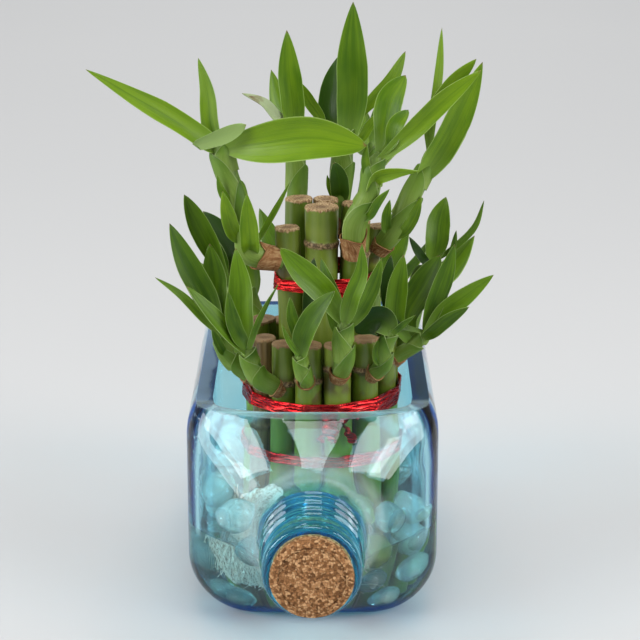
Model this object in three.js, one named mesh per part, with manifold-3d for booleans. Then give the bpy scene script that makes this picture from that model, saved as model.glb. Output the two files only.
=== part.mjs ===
// A two-tier lucky bamboo tied with red foil, standing in a glass bottle that lies on its side.
// Millimetres, +Z up. The bottle's neck points along -Y, and the origin is the middle of its flat underside.

import * as THREE from "three";
import { mergeVertices } from "three/addons/utils/BufferGeometryUtils.js";
import Module from "manifold-3d";

const wasm = await Module();
wasm.setup();

// Bottle
const bodyHalf = 47.8; // half the side of the square body
const axisZ = bodyHalf; // height of the neck's axis above the floor
const cornerRadius = 24; // the body's long edges
const wall = 5;
const rimZ = 84.5; // the upper side is cut away above this
const neckY = -106; // where the shoulder meets the neck
const backY = 76;
const lipY = -138;
const lipRadius = 17.5;
const neckRadius = 18.8;
const boreRadius = 14.4;
const sectionSides = 28;
const shoulderSteps = 10;

// Cork
const corkRadius = 14.1;
const corkTaper = 0.7; // how much thinner the inner end is
const corkInside = 18;
const corkProud = 4.5; // how far it stands out of the lip

// Filling
const clearance = 0.35; // between neighbouring pieces
const waterZ = 35.5;
const waterLayer = 2.3; // water between the glass and the pebbles
const bedCoreZ = 36; // top of the packed middle of the pebbles
const bedInset = 10; // from the glass to the packed middle
const pebbleRows = [ // along the glass, from the shoulder back to endY
  { z: 14, endY: 62 },
  { z: 27, endY: 62 },
  { z: 40, endY: -40 },
];

// Roots, fanned out round the front of the bundle, with angles in degrees
const rootFan = { strands: 13, spread: 64, topZ: 48, footZ: 16, crown: 33.8, foot: 42, thick: 1.9 };

// Bundle of canes
const bundle = { x: 3.6, y: -36 };
const ringRadius = 25; // circle that the lower canes stand on
const footZ = wall + clearance;
const footMargin = 1.8; // between a foot and the curve of the glass
const lowerTopZ = 107;
const upperTopZ = 155;
const caneSides = 9;
const nodeSwell = 0.45; // how far a cane's joint stands out

// Foil ties
const tieThickness = 0.8;
const footTieZ = 60.5; // inside the bottle
const footTieHeight = 5;
const lowerTieZ = 82;
const lowerTieHeight = 6.4;
const upperTieZ = 127;
const upperTieHeight = 8;

// Leaves
const bladeThickness = 1.2; // on the midrib
const bladeStations = [0, 0.2, 0.45, 0.75, 1];
const foldDepth = 0.16; // how far the margins rise, as a share of the width

const glassBlue = new THREE.Color(0.36, 0.7, 0.82);
const waterBlue = new THREE.Color(0.5, 0.78, 0.8);
const corkBrown = new THREE.Color(0.52, 0.3, 0.16);
const pebbleGreen = new THREE.Color(0.45, 0.66, 0.64);
const rootCream = new THREE.Color(0.72, 0.68, 0.52);
const stalkGreen = new THREE.Color(0.2, 0.36, 0.07);
const youngGreen = new THREE.Color(0.26, 0.46, 0.08);
const foilRed = new THREE.Color(0.55, 0.02, 0.03);

const plant = new THREE.Group();

// A repeatable random draw between 0 and 1
function makeDraw(seed) {
  let state = seed;
  return () => {
    state = (state * 1664525 + 1013904223) % 4294967296;
    return state / 4294967296;
  };
}

// Solids and meshes
function toSolid(geometry) {
  const bare = geometry.clone();
  bare.deleteAttribute("normal");
  bare.deleteAttribute("uv");
  const merged = mergeVertices(bare, 1e-4);
  const mesh = new wasm.Mesh({
    numProp: 3,
    vertProperties: new Float32Array(merged.attributes.position.array),
    triVerts: new Uint32Array(merged.index.array),
  });
  return new wasm.Manifold(mesh);
}

function toGeometry(solid) {
  const mesh = solid.getMesh();
  const geometry = new THREE.BufferGeometry();
  geometry.setAttribute("position", new THREE.BufferAttribute(new Float32Array(mesh.vertProperties), 3));
  geometry.setIndex(new THREE.BufferAttribute(new Uint32Array(mesh.triVerts), 1));
  return geometry;
}

function fuse(solids) {
  return solids.reduce((whole, solid) => whole.add(solid));
}

// The largest body of a cut solid, without the crumbs
function largestBody(solid) {
  const bodies = solid.decompose();
  return bodies.reduce((best, body) => (body.volume() > best.volume() ? body : best));
}

function place(name, solid, color, roughness, metalness) {
  const material = new THREE.MeshStandardMaterial({ color, roughness, metalness });
  const geometry = toGeometry(solid);
  geometry.computeVertexNormals();
  const mesh = new THREE.Mesh(geometry, material);
  mesh.name = name;
  plant.add(mesh);
}

// A closed skin over rings of points, each with the same count
function loft(rings) {
  const count = rings[0].length;
  const points = [];
  const faces = [];
  for (const ring of rings) {
    for (const p of ring) points.push(p.x, p.y, p.z);
  }
  for (let r = 0; r + 1 < rings.length; r++) {
    for (let i = 0; i < count; i++) {
      const j = (i + 1) % count;
      const a = r * count + i;
      const b = r * count + j;
      faces.push(a, b, a + count, b, b + count, a + count);
    }
  }
  const cap = (ring, first, flip) => {
    const middle = new THREE.Vector3();
    for (const p of ring) middle.addScaledVector(p, 1 / count);
    const hub = points.length / 3;
    points.push(middle.x, middle.y, middle.z);
    for (let i = 0; i < count; i++) {
      const j = (i + 1) % count;
      faces.push(hub, first + (flip ? i : j), first + (flip ? j : i));
    }
  };
  cap(rings[0], 0, false);
  cap(rings[rings.length - 1], (rings.length - 1) * count, true);
  return closedGeometry(points, faces);
}

// Indexed geometry with its faces turned outwards
function closedGeometry(points, faces) {
  let volume = 0;
  for (let f = 0; f < faces.length; f += 3) {
    const [a, b, c] = [0, 1, 2].map((k) => new THREE.Vector3().fromArray(points, faces[f + k] * 3));
    volume += a.dot(b.cross(c)) / 6;
  }
  const turned = [];
  for (let f = 0; f < faces.length; f += 3) {
    if (volume > 0) turned.push(faces[f], faces[f + 1], faces[f + 2]);
    else turned.push(faces[f], faces[f + 2], faces[f + 1]);
  }
  const geometry = new THREE.BufferGeometry();
  geometry.setAttribute("position", new THREE.Float32BufferAttribute(points, 3));
  geometry.setIndex(turned);
  return geometry;
}

function boxBetween(low, high) {
  const size = high.clone().sub(low);
  const box = new THREE.BoxGeometry(size.x, size.y, size.z);
  box.translate((low.x + high.x) / 2, (low.y + high.y) / 2, (low.z + high.z) / 2);
  return toSolid(box);
}

// Distance from the axis to a rounded square, in one direction
function roundedSquare(angle, half, radius) {
  const u = Math.max(Math.abs(Math.cos(angle)), Math.abs(Math.sin(angle)));
  const v = Math.min(Math.abs(Math.cos(angle)), Math.abs(Math.sin(angle)));
  const flat = half - radius;
  if ((half * v) / u <= flat) return half / u;
  const across = flat * (u + v);
  return across + Math.sqrt(Math.max(0, across * across - 2 * flat * flat + radius * radius));
}

function bodySection(y, half, radius, sides) {
  return Array.from({ length: sides }, (_, i) => {
    const angle = ((i + 0.5) / sides) * 2 * Math.PI;
    const reach = roundedSquare(angle, half, radius);
    return new THREE.Vector3(reach * Math.cos(angle), y, axisZ + reach * Math.sin(angle));
  });
}

// The body's half side from the neck to the back, inset from the glass surface
function bodyProfile(inset, steps) {
  const shoulder = new THREE.SplineCurve([
    new THREE.Vector2(neckY - 3, neckRadius - 0.6),
    new THREE.Vector2(neckY + 1, neckRadius + 0.6),
    new THREE.Vector2(-98, 22.6),
    new THREE.Vector2(-89, 29.2),
    new THREE.Vector2(-80, 37.2),
    new THREE.Vector2(-73, 43.6),
    new THREE.Vector2(-66, 47),
    new THREE.Vector2(-56, bodyHalf),
  ]);
  const outline = shoulder.getPoints(steps);
  outline.push(new THREE.Vector2(backY - 12, bodyHalf));
  outline.push(new THREE.Vector2(backY - 4, bodyHalf - 3));
  outline.push(new THREE.Vector2(backY, bodyHalf - 9));
  return outline.map((p, i) => {
    const before = outline[Math.max(0, i - 1)];
    const after = outline[Math.min(outline.length - 1, i + 1)];
    const along = after.clone().sub(before).normalize();
    return new THREE.Vector2(p.x + along.y * inset, p.y - along.x * inset);
  });
}

function edgeRadius(half, inset) {
  const squareness = THREE.MathUtils.clamp((half - neckRadius) / (bodyHalf - inset - neckRadius), 0, 1);
  return Math.min(0.985 * half, THREE.MathUtils.lerp(0.985 * half, cornerRadius - inset, squareness));
}

function bodyLoft(inset, sides = sectionSides, steps = shoulderSteps, drop = 0) {
  const rings = bodyProfile(inset, steps).map((p) => bodySection(p.x, p.y, edgeRadius(p.y, inset), sides));
  return toSolid(loft(rings).translate(0, 0, -drop));
}

// The space inside the glass with few faces, widened downwards to the floor of the bottle
function fillingLoft(inset, floorGap) {
  const sides = 16;
  const steps = 6;
  const drop = inset - wall - floorGap;
  return bodyLoft(inset, sides, steps).add(bodyLoft(inset, sides, steps, drop));
}

// How far the inner glass reaches sideways at one place along and up the bottle
function innerReach(y, z) {
  const profile = bodyProfile(wall, 24);
  let k = 1;
  while (k < profile.length - 2 && profile[k].x < y) k++;
  const share = (y - profile[k - 1].x) / (profile[k].x - profile[k - 1].x);
  const half = THREE.MathUtils.lerp(profile[k - 1].y, profile[k].y, THREE.MathUtils.clamp(share, 0, 1));
  const radius = edgeRadius(half, wall);
  const over = Math.abs(z - axisZ) - (half - radius);
  if (over <= 0) return half;
  if (over > radius) return 0;
  return half - radius + Math.sqrt(Math.max(0, radius * radius - over * over));
}

function turned(profile, sides) {
  const lathe = new THREE.LatheGeometry(profile.map(([radius, y]) => new THREE.Vector2(radius, y)), sides);
  lathe.translate(0, 0, axisZ);
  const solid = toSolid(lathe);
  if (solid.volume() > 0) return solid;
  const flipped = lathe.clone();
  const index = Array.from(lathe.index.array);
  for (let f = 0; f < index.length; f += 3) {
    [index[f + 1], index[f + 2]] = [index[f + 2], index[f + 1]];
  }
  flipped.setIndex(index);
  return toSolid(flipped);
}

// Neck with its screw beads and rounded lip
function neckProfile() {
  const profile = [[0, neckY + 8], [neckRadius + 1.6, neckY + 8], [neckRadius + 0.9, neckY]];
  for (const beadY of [-110.5, -116.7, -122.9]) {
    profile.push([neckRadius - 1.9, beadY + 1.6]);
    profile.push([neckRadius - 0.2, beadY - 0.2]);
    profile.push([neckRadius - 0.2, beadY - 1.4]);
  }
  profile.push([neckRadius - 1.9, -126]);
  profile.push([lipRadius - 0.7, lipY + 9.4], [lipRadius, lipY + 7.6], [lipRadius, lipY + 2]);
  profile.push([lipRadius - 1.2, lipY], [0, lipY]);
  return profile;
}

function boreSolid(radius, outerY, innerY) {
  return turned([[0, innerY], [radius, innerY], [radius, outerY], [0, outerY]], sectionSides);
}

function buildBottle() {
  const shell = bodyLoft(0).add(turned(neckProfile(), sectionSides));
  const hollow = bodyLoft(wall).add(boreSolid(boreRadius, lipY - 4, neckY + 14));
  const above = boxBetween(new THREE.Vector3(-80, -100, rimZ), new THREE.Vector3(80, 100, 120));
  return shell.subtract(hollow).subtract(above);
}

function buildCork() {
  const outerY = lipY - corkProud;
  const innerY = lipY + corkInside;
  return turned([
    [0, innerY],
    [corkRadius - corkTaper - 0.5, innerY],
    [corkRadius - corkTaper, innerY - 0.6],
    [corkRadius, lipY],
    [corkRadius, outerY + 0.7],
    [corkRadius - 0.7, outerY],
    [0, outerY],
  ], 32);
}

// Canes
const lowerCanes = [
  { name: "lower_cane_01", angle: -90, radius: 4.6, topZ: lowerTopZ + 2, joints: [71] },
  { name: "lower_cane_02", angle: -62, radius: 4.5, topZ: lowerTopZ - 1, joints: [70] },
  { name: "lower_cane_03", angle: -35.5, radius: 4.5, topZ: lowerTopZ - 0.5, joints: [91] },
  { name: "lower_cane_04", angle: -11.8, radius: 5, topZ: lowerTopZ, joints: [93] },
  { name: "lower_cane_05", angle: 13, radius: 5.1, topZ: lowerTopZ, joints: [97.5] },
  { name: "lower_cane_06", angle: 40.4, radius: 5, topZ: lowerTopZ + 1, joints: [96] },
  { name: "lower_cane_07", angle: 70.7, radius: 4.7, topZ: lowerTopZ - 3, joints: [96] },
  { name: "lower_cane_08", angle: 95.6, radius: 4.6, topZ: lowerTopZ - 1, joints: [92] },
  { name: "lower_cane_09", angle: 120.5, radius: 5, topZ: lowerTopZ + 1, joints: [70] },
  { name: "lower_cane_10", angle: 145.4, radius: 4.8, topZ: lowerTopZ - 2, joints: [93] },
  { name: "lower_cane_11", angle: 170.3, radius: 5, topZ: lowerTopZ, joints: [71] },
  { name: "lower_cane_12", angle: 195.2, radius: 4.9, topZ: lowerTopZ + 1, joints: [94] },
  { name: "lower_cane_13", angle: 220.2, radius: 4.7, topZ: lowerTopZ - 3, joints: [92] },
  { name: "lower_cane_14", angle: 245.1, radius: 4.8, topZ: lowerTopZ, joints: [69] },
];

const upperCanes = [
  { name: "upper_cane_01", foot: [3.4, -48], top: [3.4, -48], radius: 6.2, topZ: upperTopZ + 2, joints: [143] },
  { name: "upper_cane_02", foot: [-6, -30], top: [-5.2, -30], radius: 5.3, topZ: upperTopZ + 1, joints: [118] },
  { name: "upper_cane_03", foot: [-8, -42], top: [-9.4, -48], radius: 4.8, topZ: upperTopZ - 6, joints: [136.5] },
  { name: "upper_cane_04", foot: [4.5, -26.8], top: [5, -27], radius: 4.8, topZ: upperTopZ, joints: [117] },
  { name: "upper_cane_05", foot: [14.6, -26.1], top: [15.8, -25], radius: 4.7, topZ: upperTopZ - 2, joints: [136] },
  { name: "upper_cane_06", foot: [14.9, -45.1], top: [16.6, -49], radius: 5.1, topZ: upperTopZ - 3, joints: [139] },
  { name: "upper_cane_07", foot: [18, -36], top: [24, -41], radius: 3.7, topZ: upperTopZ - 7, joints: [139] },
  { name: "upper_cane_08", foot: [3.7, -36.6], top: [4, -37], radius: 4, topZ: upperTopZ - 2, joints: [] },
];
const bendZ = 108; // a leaning upper cane stays upright up to here

function caneAxis(cane) {
  if (cane.angle !== undefined) {
    const turn = THREE.MathUtils.degToRad(cane.angle);
    const x = bundle.x + ringRadius * Math.sin(turn);
    const y = bundle.y - ringRadius * Math.cos(turn);
    return () => new THREE.Vector2(x, y);
  }
  return (z) => {
    const share = Math.max(0, (z - bendZ) / (cane.topZ - bendZ));
    return new THREE.Vector2(...cane.foot).lerp(new THREE.Vector2(...cane.top), share);
  };
}

// The height at which a cane's foot meets the curved floor of the bottle
function footHeight(cane) {
  const foot = caneAxis(cane)(footZ);
  const outX = Math.abs(foot.x) + cane.radius;
  const outY = foot.y - cane.radius;
  let z = footZ;
  while (z < axisZ && innerReach(outY, z) < outX + footMargin) z += 0.5;
  return z + clearance;
}

function caneSolid(cane) {
  const axis = caneAxis(cane);
  const levels = [[footHeight(cane), 0]];
  for (const z of cane.joints) {
    levels.push([z - 1.6, 0], [z, nodeSwell], [z + 1.6, -0.15]);
  }
  if (cane.foot && cane.joints.every((z) => z > bendZ + 4)) levels.push([bendZ, 0]);
  levels.push([cane.topZ, -0.1]);
  levels.sort((a, b) => a[0] - b[0]);
  const rings = levels.map(([z, swell]) => {
    const middle = axis(z);
    return Array.from({ length: caneSides }, (_, i) => {
      const angle = (i / caneSides) * 2 * Math.PI;
      const reach = cane.radius + swell;
      return new THREE.Vector3(middle.x + reach * Math.cos(angle), middle.y + reach * Math.sin(angle), z);
    });
  });
  return toSolid(loft(rings));
}

// A tapering shoot through a few points
function stalk(points, radii, sides = 6) {
  const curve = new THREE.CatmullRomCurve3(points.map((p) => new THREE.Vector3(...p)));
  const steps = points.length;
  const frames = curve.computeFrenetFrames(steps, false);
  const rings = [];
  for (let s = 0; s <= steps; s++) {
    const t = s / steps;
    const middle = curve.getPointAt(t);
    const along = t * (radii.length - 1);
    const k = Math.min(radii.length - 2, Math.floor(along));
    const radius = THREE.MathUtils.lerp(radii[k], radii[k + 1], along - k);
    rings.push(Array.from({ length: sides }, (_, i) => {
      const angle = (i / sides) * 2 * Math.PI;
      return middle.clone()
        .addScaledVector(frames.normals[s], radius * Math.cos(angle))
        .addScaledVector(frames.binormals[s], radius * Math.sin(angle));
    }));
  }
  return toSolid(loft(rings));
}

// A leaf's half width along its length: a clasping base, fullest at one place, and a long point
function bladeHalfWidth(t, { wide, full, blunt = 0.8, clasp = 0.34 }) {
  const swell = Math.pow(Math.sin(Math.PI * Math.pow(t, Math.log(0.5) / Math.log(full))), blunt);
  const base = clasp * Math.pow(1 - t, 3);
  return Math.max(0.12, (wide / 2) * Math.min(1, swell + base));
}

// One leaf from its base to its tip. At roll 0 its upper face looks towards the bottle's neck.
function blade(leaf) {
  const points = leaf.path.map((p) => new THREE.Vector3(...p));
  const curve = new THREE.CatmullRomCurve3(points, false, "catmullrom", 0.5);
  const viewer = new THREE.Vector3(0, -1, 0.3).normalize();
  const rings = bladeStations.map((t) => {
    const middle = curve.getPoint(t);
    const along = curve.getTangent(t);
    const facing = viewer.clone().addScaledVector(along, -viewer.dot(along)).normalize();
    facing.applyAxisAngle(along, THREE.MathUtils.degToRad(leaf.roll));
    const side = new THREE.Vector3().crossVectors(along, facing).normalize();
    const half = bladeHalfWidth(t, leaf);
    const thick = (bladeThickness / 2) * Math.min(1, 0.35 + half / 3);
    const lift = 2 * half * foldDepth;
    return [
      middle.clone().addScaledVector(side, half).addScaledVector(facing, lift),
      middle.clone().addScaledVector(facing, thick),
      middle.clone().addScaledVector(side, -half).addScaledVector(facing, lift),
      middle.clone().addScaledVector(facing, -thick),
    ];
  });
  return toSolid(loft(rings));
}

// Shoots: the cane that each grows from, its stem and its leaves
const shoots = {
  upper_cane_03: {
    stem: [
      [-11.5, -48, 136], [-23.1, -51.5, 140], [-25.6, -52.5, 148.7], [-27.9, -51.5, 160.8],
      [-31.2, -50, 169], [-33.2, -48.5, 176.2], [-34.5, -47.5, 181.2],
    ],
    radii: [3.7, 4.5, 3.5, 3.5, 4.1, 4.4, 2.6],
    leaves: [
      {
        path: [[-35, -48.2, 177.6], [-49.4, -49.8, 188.3], [-65.4, -52.4, 198.6], [-81.8, -54, 209.2]],
        wide: 8.5, full: 0.35, roll: 25,
      },
      {
        path: [[-34.8, -47.5, 177.8], [-37.4, -45, 187], [-38.7, -42.6, 199.2], [-42.1, -40, 210.8]],
        wide: 6.6, full: 0.46, roll: -18,
      },
      {
        path: [[-35, -48.3, 180.3], [-41.9, -54.5, 181.1], [-33.1, -57.1, 185], [-24, -58.5, 189.4]],
        wide: 6, full: 0.7, roll: 25, blunt: 0.6,
      },
      {
        path: [[-33.8, -49.4, 178.4], [-18.6, -56.8, 182.3], [0.2, -62.1, 185.4], [19.5, -66, 183.1]],
        wide: 16.1, full: 0.55, roll: 8, blunt: 0.62, clasp: 0,
      },
      {
        path: [[-27.9, -52.7, 155.5], [-31.2, -54.3, 159.8], [-33.6, -55.6, 164.7], [-34.9, -56.5, 170.2]],
        wide: 3.4, full: 0.45, roll: 10,
      },
      {
        path: [[-26, -53.3, 144.4], [-29.3, -56.1, 149.3], [-31.3, -57.3, 156.8], [-32.9, -58, 164.7]],
        wide: 5.9, full: 0.49, roll: 0,
      },
      {
        path: [[-22.7, -52.9, 139.5], [-23, -57.7, 144.8], [-23.5, -59.4, 154.3], [-24, -60, 164.2]],
        wide: 7, full: 0.48, roll: 0,
      },
      {
        path: [[-22, -50.9, 141], [-17.3, -47.2, 148.6], [-12.7, -43.2, 156.2], [-8.4, -40, 164.4]],
        wide: 2.4, full: 0.46, roll: -20,
      },
    ],
  },
  upper_cane_02: {
    stem: [
      [-4.9, -28, 144.6], [-6.1, -22.5, 150.2], [-6.3, -20, 157.5],
      [-6.2, -19, 167.1], [-6.6, -20, 176.1], [-6.9, -20.5, 183],
    ],
    radii: [2.9, 3.3, 3.9, 3.8, 3.4, 1.9],
    leaves: [
      {
        path: [[-6.6, -20.5, 175.2], [-7.6, -21.5, 189.5], [-9, -22.5, 203.9], [-9.6, -23, 218.5]],
        wide: 9.1, full: 0.5, roll: 5,
      },
      {
        path: [[-6.1, -20.3, 181.9], [3.2, -18.5, 182.9], [-1.4, -18.5, 191.1], [-6.5, -18, 199.3]],
        wide: 4.7, full: 0.64, roll: -15,
      },
      {
        path: [[-7.6, -20.6, 180.7], [-13.2, -23.7, 185], [-18.6, -27.2, 191.7], [-26.3, -30, 196]],
        wide: 4.8, full: 0.48, roll: 30,
      },
      {
        path: [[-6.2, -18.2, 171.9], [-10.1, -11.4, 180.1], [-13.5, -6.2, 189.6], [-16, -2, 200]],
        wide: 9, full: 0.4, roll: 170,
      },
    ],
  },
  upper_cane_04: {
    stem: [[6.5, -25.5, 139], [9.8, -18, 149], [11.3, -15, 163.3], [12, -16, 173.3], [13.3, -17, 181.3]],
    radii: [3, 3.6, 4.3, 3.8, 2.3],
    leaves: [
      {
        path: [[12.7, -17.1, 172.6], [14.8, -19.1, 191.1], [14.8, -21.5, 210], [15.2, -23, 229.1]],
        wide: 11.8, full: 0.5, roll: 4,
      },
      {
        path: [[14, -17, 180.4], [20.9, -16.8, 189], [29.6, -14.3, 197.9], [35.6, -11, 208.7]],
        wide: 5.7, full: 0.61, roll: 20,
      },
      {
        path: [[13.3, -16.6, 174.2], [18, -18.1, 175.8], [21.2, -18, 180.8], [24.8, -17.5, 185.6]],
        wide: 4.1, full: 0.61, roll: 20,
      },
      {
        path: [[11.4, -15.9, 176.6], [6.3, -12.9, 184], [7.5, -11.4, 195.8], [10.5, -10, 207.6]],
        wide: 8, full: 0.54, roll: -15,
      },
      {
        path: [[10.3, -18.4, 151.6], [10.5, -20.8, 155.9], [9.9, -21.7, 161.8], [8.4, -22, 167.7]],
        wide: 7.3, full: 0.54, roll: 0, blunt: 0.6,
      },
      {
        path: [[9.7, -18.2, 152], [7.9, -20.5, 154.3], [6.4, -21.1, 158.4], [5.5, -21.5, 162.7]],
        wide: 2.3, full: 0.54, roll: -10,
      },
      {
        path: [[11.2, -13.8, 167.9], [12.7, -6.4, 181.1], [13.8, 2.1, 194.2], [14, 12, 206]],
        wide: 11, full: 0.4, roll: 175,
      },
    ],
  },
  upper_cane_06: {
    stem: [
      [15.5, -50, 137], [15.3, -55.5, 151.4], [19.1, -58.5, 160.1],
      [21.1, -59.5, 164.6], [22.1, -60, 172.6], [24.6, -60, 179.6],
    ],
    radii: [3.3, 4.4, 4, 3.7, 3.8, 2.2],
    leaves: [
      {
        path: [[20.6, -60.7, 164.6], [23.5, -64.7, 171.4], [30.6, -68.4, 174.1], [38.4, -72, 175.2]],
        wide: 5.3, full: 0.35, roll: 35,
      },
      {
        path: [[24.9, -59.6, 178.6], [26.8, -56.2, 188.3], [28.7, -52.4, 197.7], [34, -50, 206.2]],
        wide: 10.1, full: 0.6, roll: -12, blunt: 0.7,
      },
      {
        path: [[24.9, -60.4, 178.8], [28.6, -62.4, 183.3], [30.4, -62.1, 190.1], [34.6, -60, 195.5]],
        wide: 6.2, full: 0.66, roll: -20, blunt: 0.65,
      },
      {
        path: [[23.9, -60.9, 176.7], [35.4, -64.7, 188], [47.1, -66.6, 200.1], [60.2, -67, 210.7]],
        wide: 7.4, full: 0.55, roll: 15,
      },
      {
        path: [[17.2, -57.9, 154.6], [20.7, -61.5, 156.4], [23.8, -63.3, 161.9], [28, -65, 166.8]],
        wide: 3.5, full: 0.55, roll: 20,
      },
      {
        path: [[20.8, -60.9, 168.8], [19.8, -62.3, 173.5], [19.3, -63.1, 178.4], [19.8, -63, 183.4]],
        wide: 3.3, full: 0.45, roll: -10,
      },
    ],
  },
  upper_cane_07: {
    stem: [
      [24, -41, 137.5], [28.9, -43.5, 144.5], [33.9, -44.5, 152.5],
      [37.5, -44, 161], [41.2, -42.5, 167.4], [44, -41.5, 173.8],
    ],
    radii: [3.1, 3.9, 4.1, 3.9, 3.4, 2.1],
    leaves: [
      {
        path: [[40.2, -44, 166.2], [48.7, -45.7, 180], [55.9, -46, 194.8], [62.4, -46, 210.2]],
        wide: 10.5, full: 0.45, roll: 18,
      },
      {
        path: [[43.6, -41.6, 173.5], [44.9, -40.1, 189.4], [47, -36.4, 205.2], [48, -32, 220.9]],
        wide: 3.4, full: 0.55, roll: -10,
      },
      {
        path: [[43.5, -41.6, 173.5], [42.7, -41, 188.1], [50.2, -41.9, 200.1], [60.3, -43, 210.8]],
        wide: 5.7, full: 0.7, roll: 15,
      },
      {
        path: [[29.7, -44.6, 144.4], [34, -47.6, 147.1], [37.8, -48.2, 153.5], [40.5, -48.5, 160.6]],
        wide: 4.6, full: 0.53, roll: 15,
      },
      {
        path: [[28.9, -44.9, 145.6], [27.5, -47.6, 148.5], [27.7, -48.1, 153.8], [28.8, -48, 159.1]],
        wide: 3.7, full: 0.54, roll: 0,
      },
      {
        path: [[42.2, -41.1, 170], [49.3, -34.2, 177.8], [55.4, -28.8, 187.1], [60, -24, 198]],
        wide: 11, full: 0.4, roll: 150,
      },
    ],
  },
  upper_cane_05: {
    stem: [[15.5, -21, 139], [20, -14, 148], [22.5, -8.5, 160], [23, -5, 172]],
    radii: [3, 3.6, 3.3, 2],
    leaves: [
      {
        path: [[22, -6.7, 166.9], [26.5, 2.1, 176.5], [30.8, 9.6, 187.2], [34, 16, 199]],
        wide: 11, full: 0.4, roll: 170,
      },
      {
        path: [[22.1, -6.1, 167.9], [19.2, 3.4, 175.9], [16.8, 14, 182.6], [14, 26, 186]],
        wide: 10, full: 0.4, roll: 190,
      },
      {
        path: [[21.7, -8.4, 161.7], [25.7, -5.4, 167.2], [34.3, -0.9, 173.9], [44, 2, 180]],
        wide: 9, full: 0.45, roll: 140,
      },
    ],
  },
  lower_cane_03: {
    stem: [[-11.5, -57.5, 88], [-19.6, -62.5, 93.9], [-22.9, -65, 101.1], [-24.2, -67, 107.5]],
    radii: [3, 3.6, 3.5, 2.4],
    leaves: [
      {
        path: [[-24.3, -67.2, 105.3], [-31, -70.9, 114.4], [-38, -73.7, 123.8], [-45.3, -75, 133.3]],
        wide: 6.2, full: 0.5, roll: 28,
      },
      {
        path: [[-24.3, -66.5, 105], [-26.2, -65, 117.8], [-26.6, -63.4, 131.1], [-28.2, -62, 144.3]],
        wide: 9.3, full: 0.5, roll: -5,
      },
      {
        path: [[-24.5, -67.5, 107.3], [-27.8, -70.4, 114.4], [-29.8, -72.2, 122.2], [-30.6, -73, 130.7]],
        wide: 5.6, full: 0.45, roll: 12,
      },
      {
        path: [[-23.9, -67.6, 106.6], [-20.9, -70.7, 116.2], [-17, -73.6, 125.4], [-12.1, -76, 134.5]],
        wide: 2.3, full: 0.35, roll: 15,
      },
    ],
  },
  lower_cane_02: {
    stem: [[-20, -47.5, 88], [-29, -49.5, 94.9], [-32.7, -51, 100.6], [-35.8, -52, 109.3]],
    radii: [2.6, 3, 3.1, 2.2],
    leaves: [
      {
        path: [[-35.8, -52.6, 108.7], [-41.9, -56.4, 116.7], [-48.9, -59.6, 125.5], [-57.6, -62, 133.2]],
        wide: 3.7, full: 0.48, roll: 25,
      },
      {
        path: [[-35.2, -52.2, 109.1], [-39.9, -54.3, 122.6], [-46.8, -55.5, 136.9], [-52.6, -56, 152]],
        wide: 9.5, full: 0.53, roll: 10,
      },
      {
        path: [[-34.7, -52.2, 108.5], [-36.4, -51.5, 119.8], [-37, -50.5, 131.1], [-38.5, -49.5, 142.7]],
        wide: 9.8, full: 0.52, roll: -5,
      },
      {
        path: [[-32.8, -52.1, 100.6], [-34, -54.8, 102.6], [-35.9, -55.6, 106.9], [-37.7, -56, 111.2]],
        wide: 3.4, full: 0.54, roll: 10,
      },
    ],
  },
  lower_cane_01: {
    stem: [[-22, -36, 92], [-28, -35.5, 98], [-31, -35, 110], [-32, -34, 122]],
    radii: [2.8, 3.4, 3.4, 2.4],
    leaves: [
      {
        path: [[-32.2, -34.3, 121.6], [-37.4, -36.6, 134.1], [-43, -38.4, 146.4], [-48.2, -40, 159.3]],
        wide: 8.5, full: 0.62, roll: 12,
      },
      {
        path: [[-31.8, -34, 121.7], [-30.7, -33, 132.6], [-34.9, -28.2, 141.6], [-42, -25, 149.6]],
        wide: 6.8, full: 0.63, roll: 25,
      },
      {
        path: [[-31.7, -34, 121.6], [-29.1, -32.7, 131.1], [-30.8, -26.9, 138.3], [-35.5, -22, 145.6]],
        wide: 5.5, full: 0.68, roll: -10,
      },
      {
        path: [[-31.1, -33.8, 111.9], [-38.5, -28.5, 119.2], [-46.3, -23.3, 126.7], [-54, -18, 134]],
        wide: 10, full: 0.4, roll: 60,
      },
    ],
  },
  lower_cane_04: {
    stem: [[-2, -62.5, 92], [-3.1, -69, 97], [-4.2, -72.5, 103], [-4.5, -75, 108.1]],
    radii: [2.4, 2.9, 2.6, 2],
    leaves: [
      {
        path: [[-4.4, -74.6, 105.4], [-3.2, -78.7, 115.5], [1.2, -81.3, 125.3], [8, -83, 133.9]],
        wide: 7.7, full: 0.52, roll: -10,
      },
      {
        path: [[-4.7, -75.2, 106.9], [-7, -78.4, 111], [-9.2, -80.8, 115.7], [-11, -82, 120.9]],
        wide: 2.2, full: 0.45, roll: 10,
      },
      {
        path: [[-4.3, -74.7, 108.3], [-1.6, -73.2, 119.5], [-0.3, -71.8, 131.1], [0.5, -70.5, 142.9]],
        wide: 5.6, full: 0.66, roll: -10,
      },
      {
        path: [[-4.5, -74.8, 108.3], [-5.6, -75.4, 115.4], [-7.4, -76.2, 122.3], [-8.1, -77, 129.6]],
        wide: 4.4, full: 0.54, roll: 0,
      },
    ],
  },
  lower_cane_05: {
    stem: [[9.5, -62.5, 94], [11.4, -70.5, 103.8], [11.3, -73, 112.3], [12.1, -75, 120.5]],
    radii: [2.8, 3.8, 3.7, 2.4],
    leaves: [
      {
        path: [[12, -75.7, 119.7], [14.3, -78.3, 129.7], [17.7, -79.2, 139.7], [17.8, -80, 150.4]],
        wide: 6.2, full: 0.42, roll: -6,
      },
      {
        path: [[12.6, -75, 117.8], [18, -75.5, 125.6], [22.1, -75, 134.4], [25.1, -75, 143.6]],
        wide: 6.1, full: 0.48, roll: 18,
      },
      {
        path: [[11.3, -74.3, 119.7], [4.9, -75, 130.1], [-3.4, -76, 139], [-11.6, -77, 148.1]],
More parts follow.
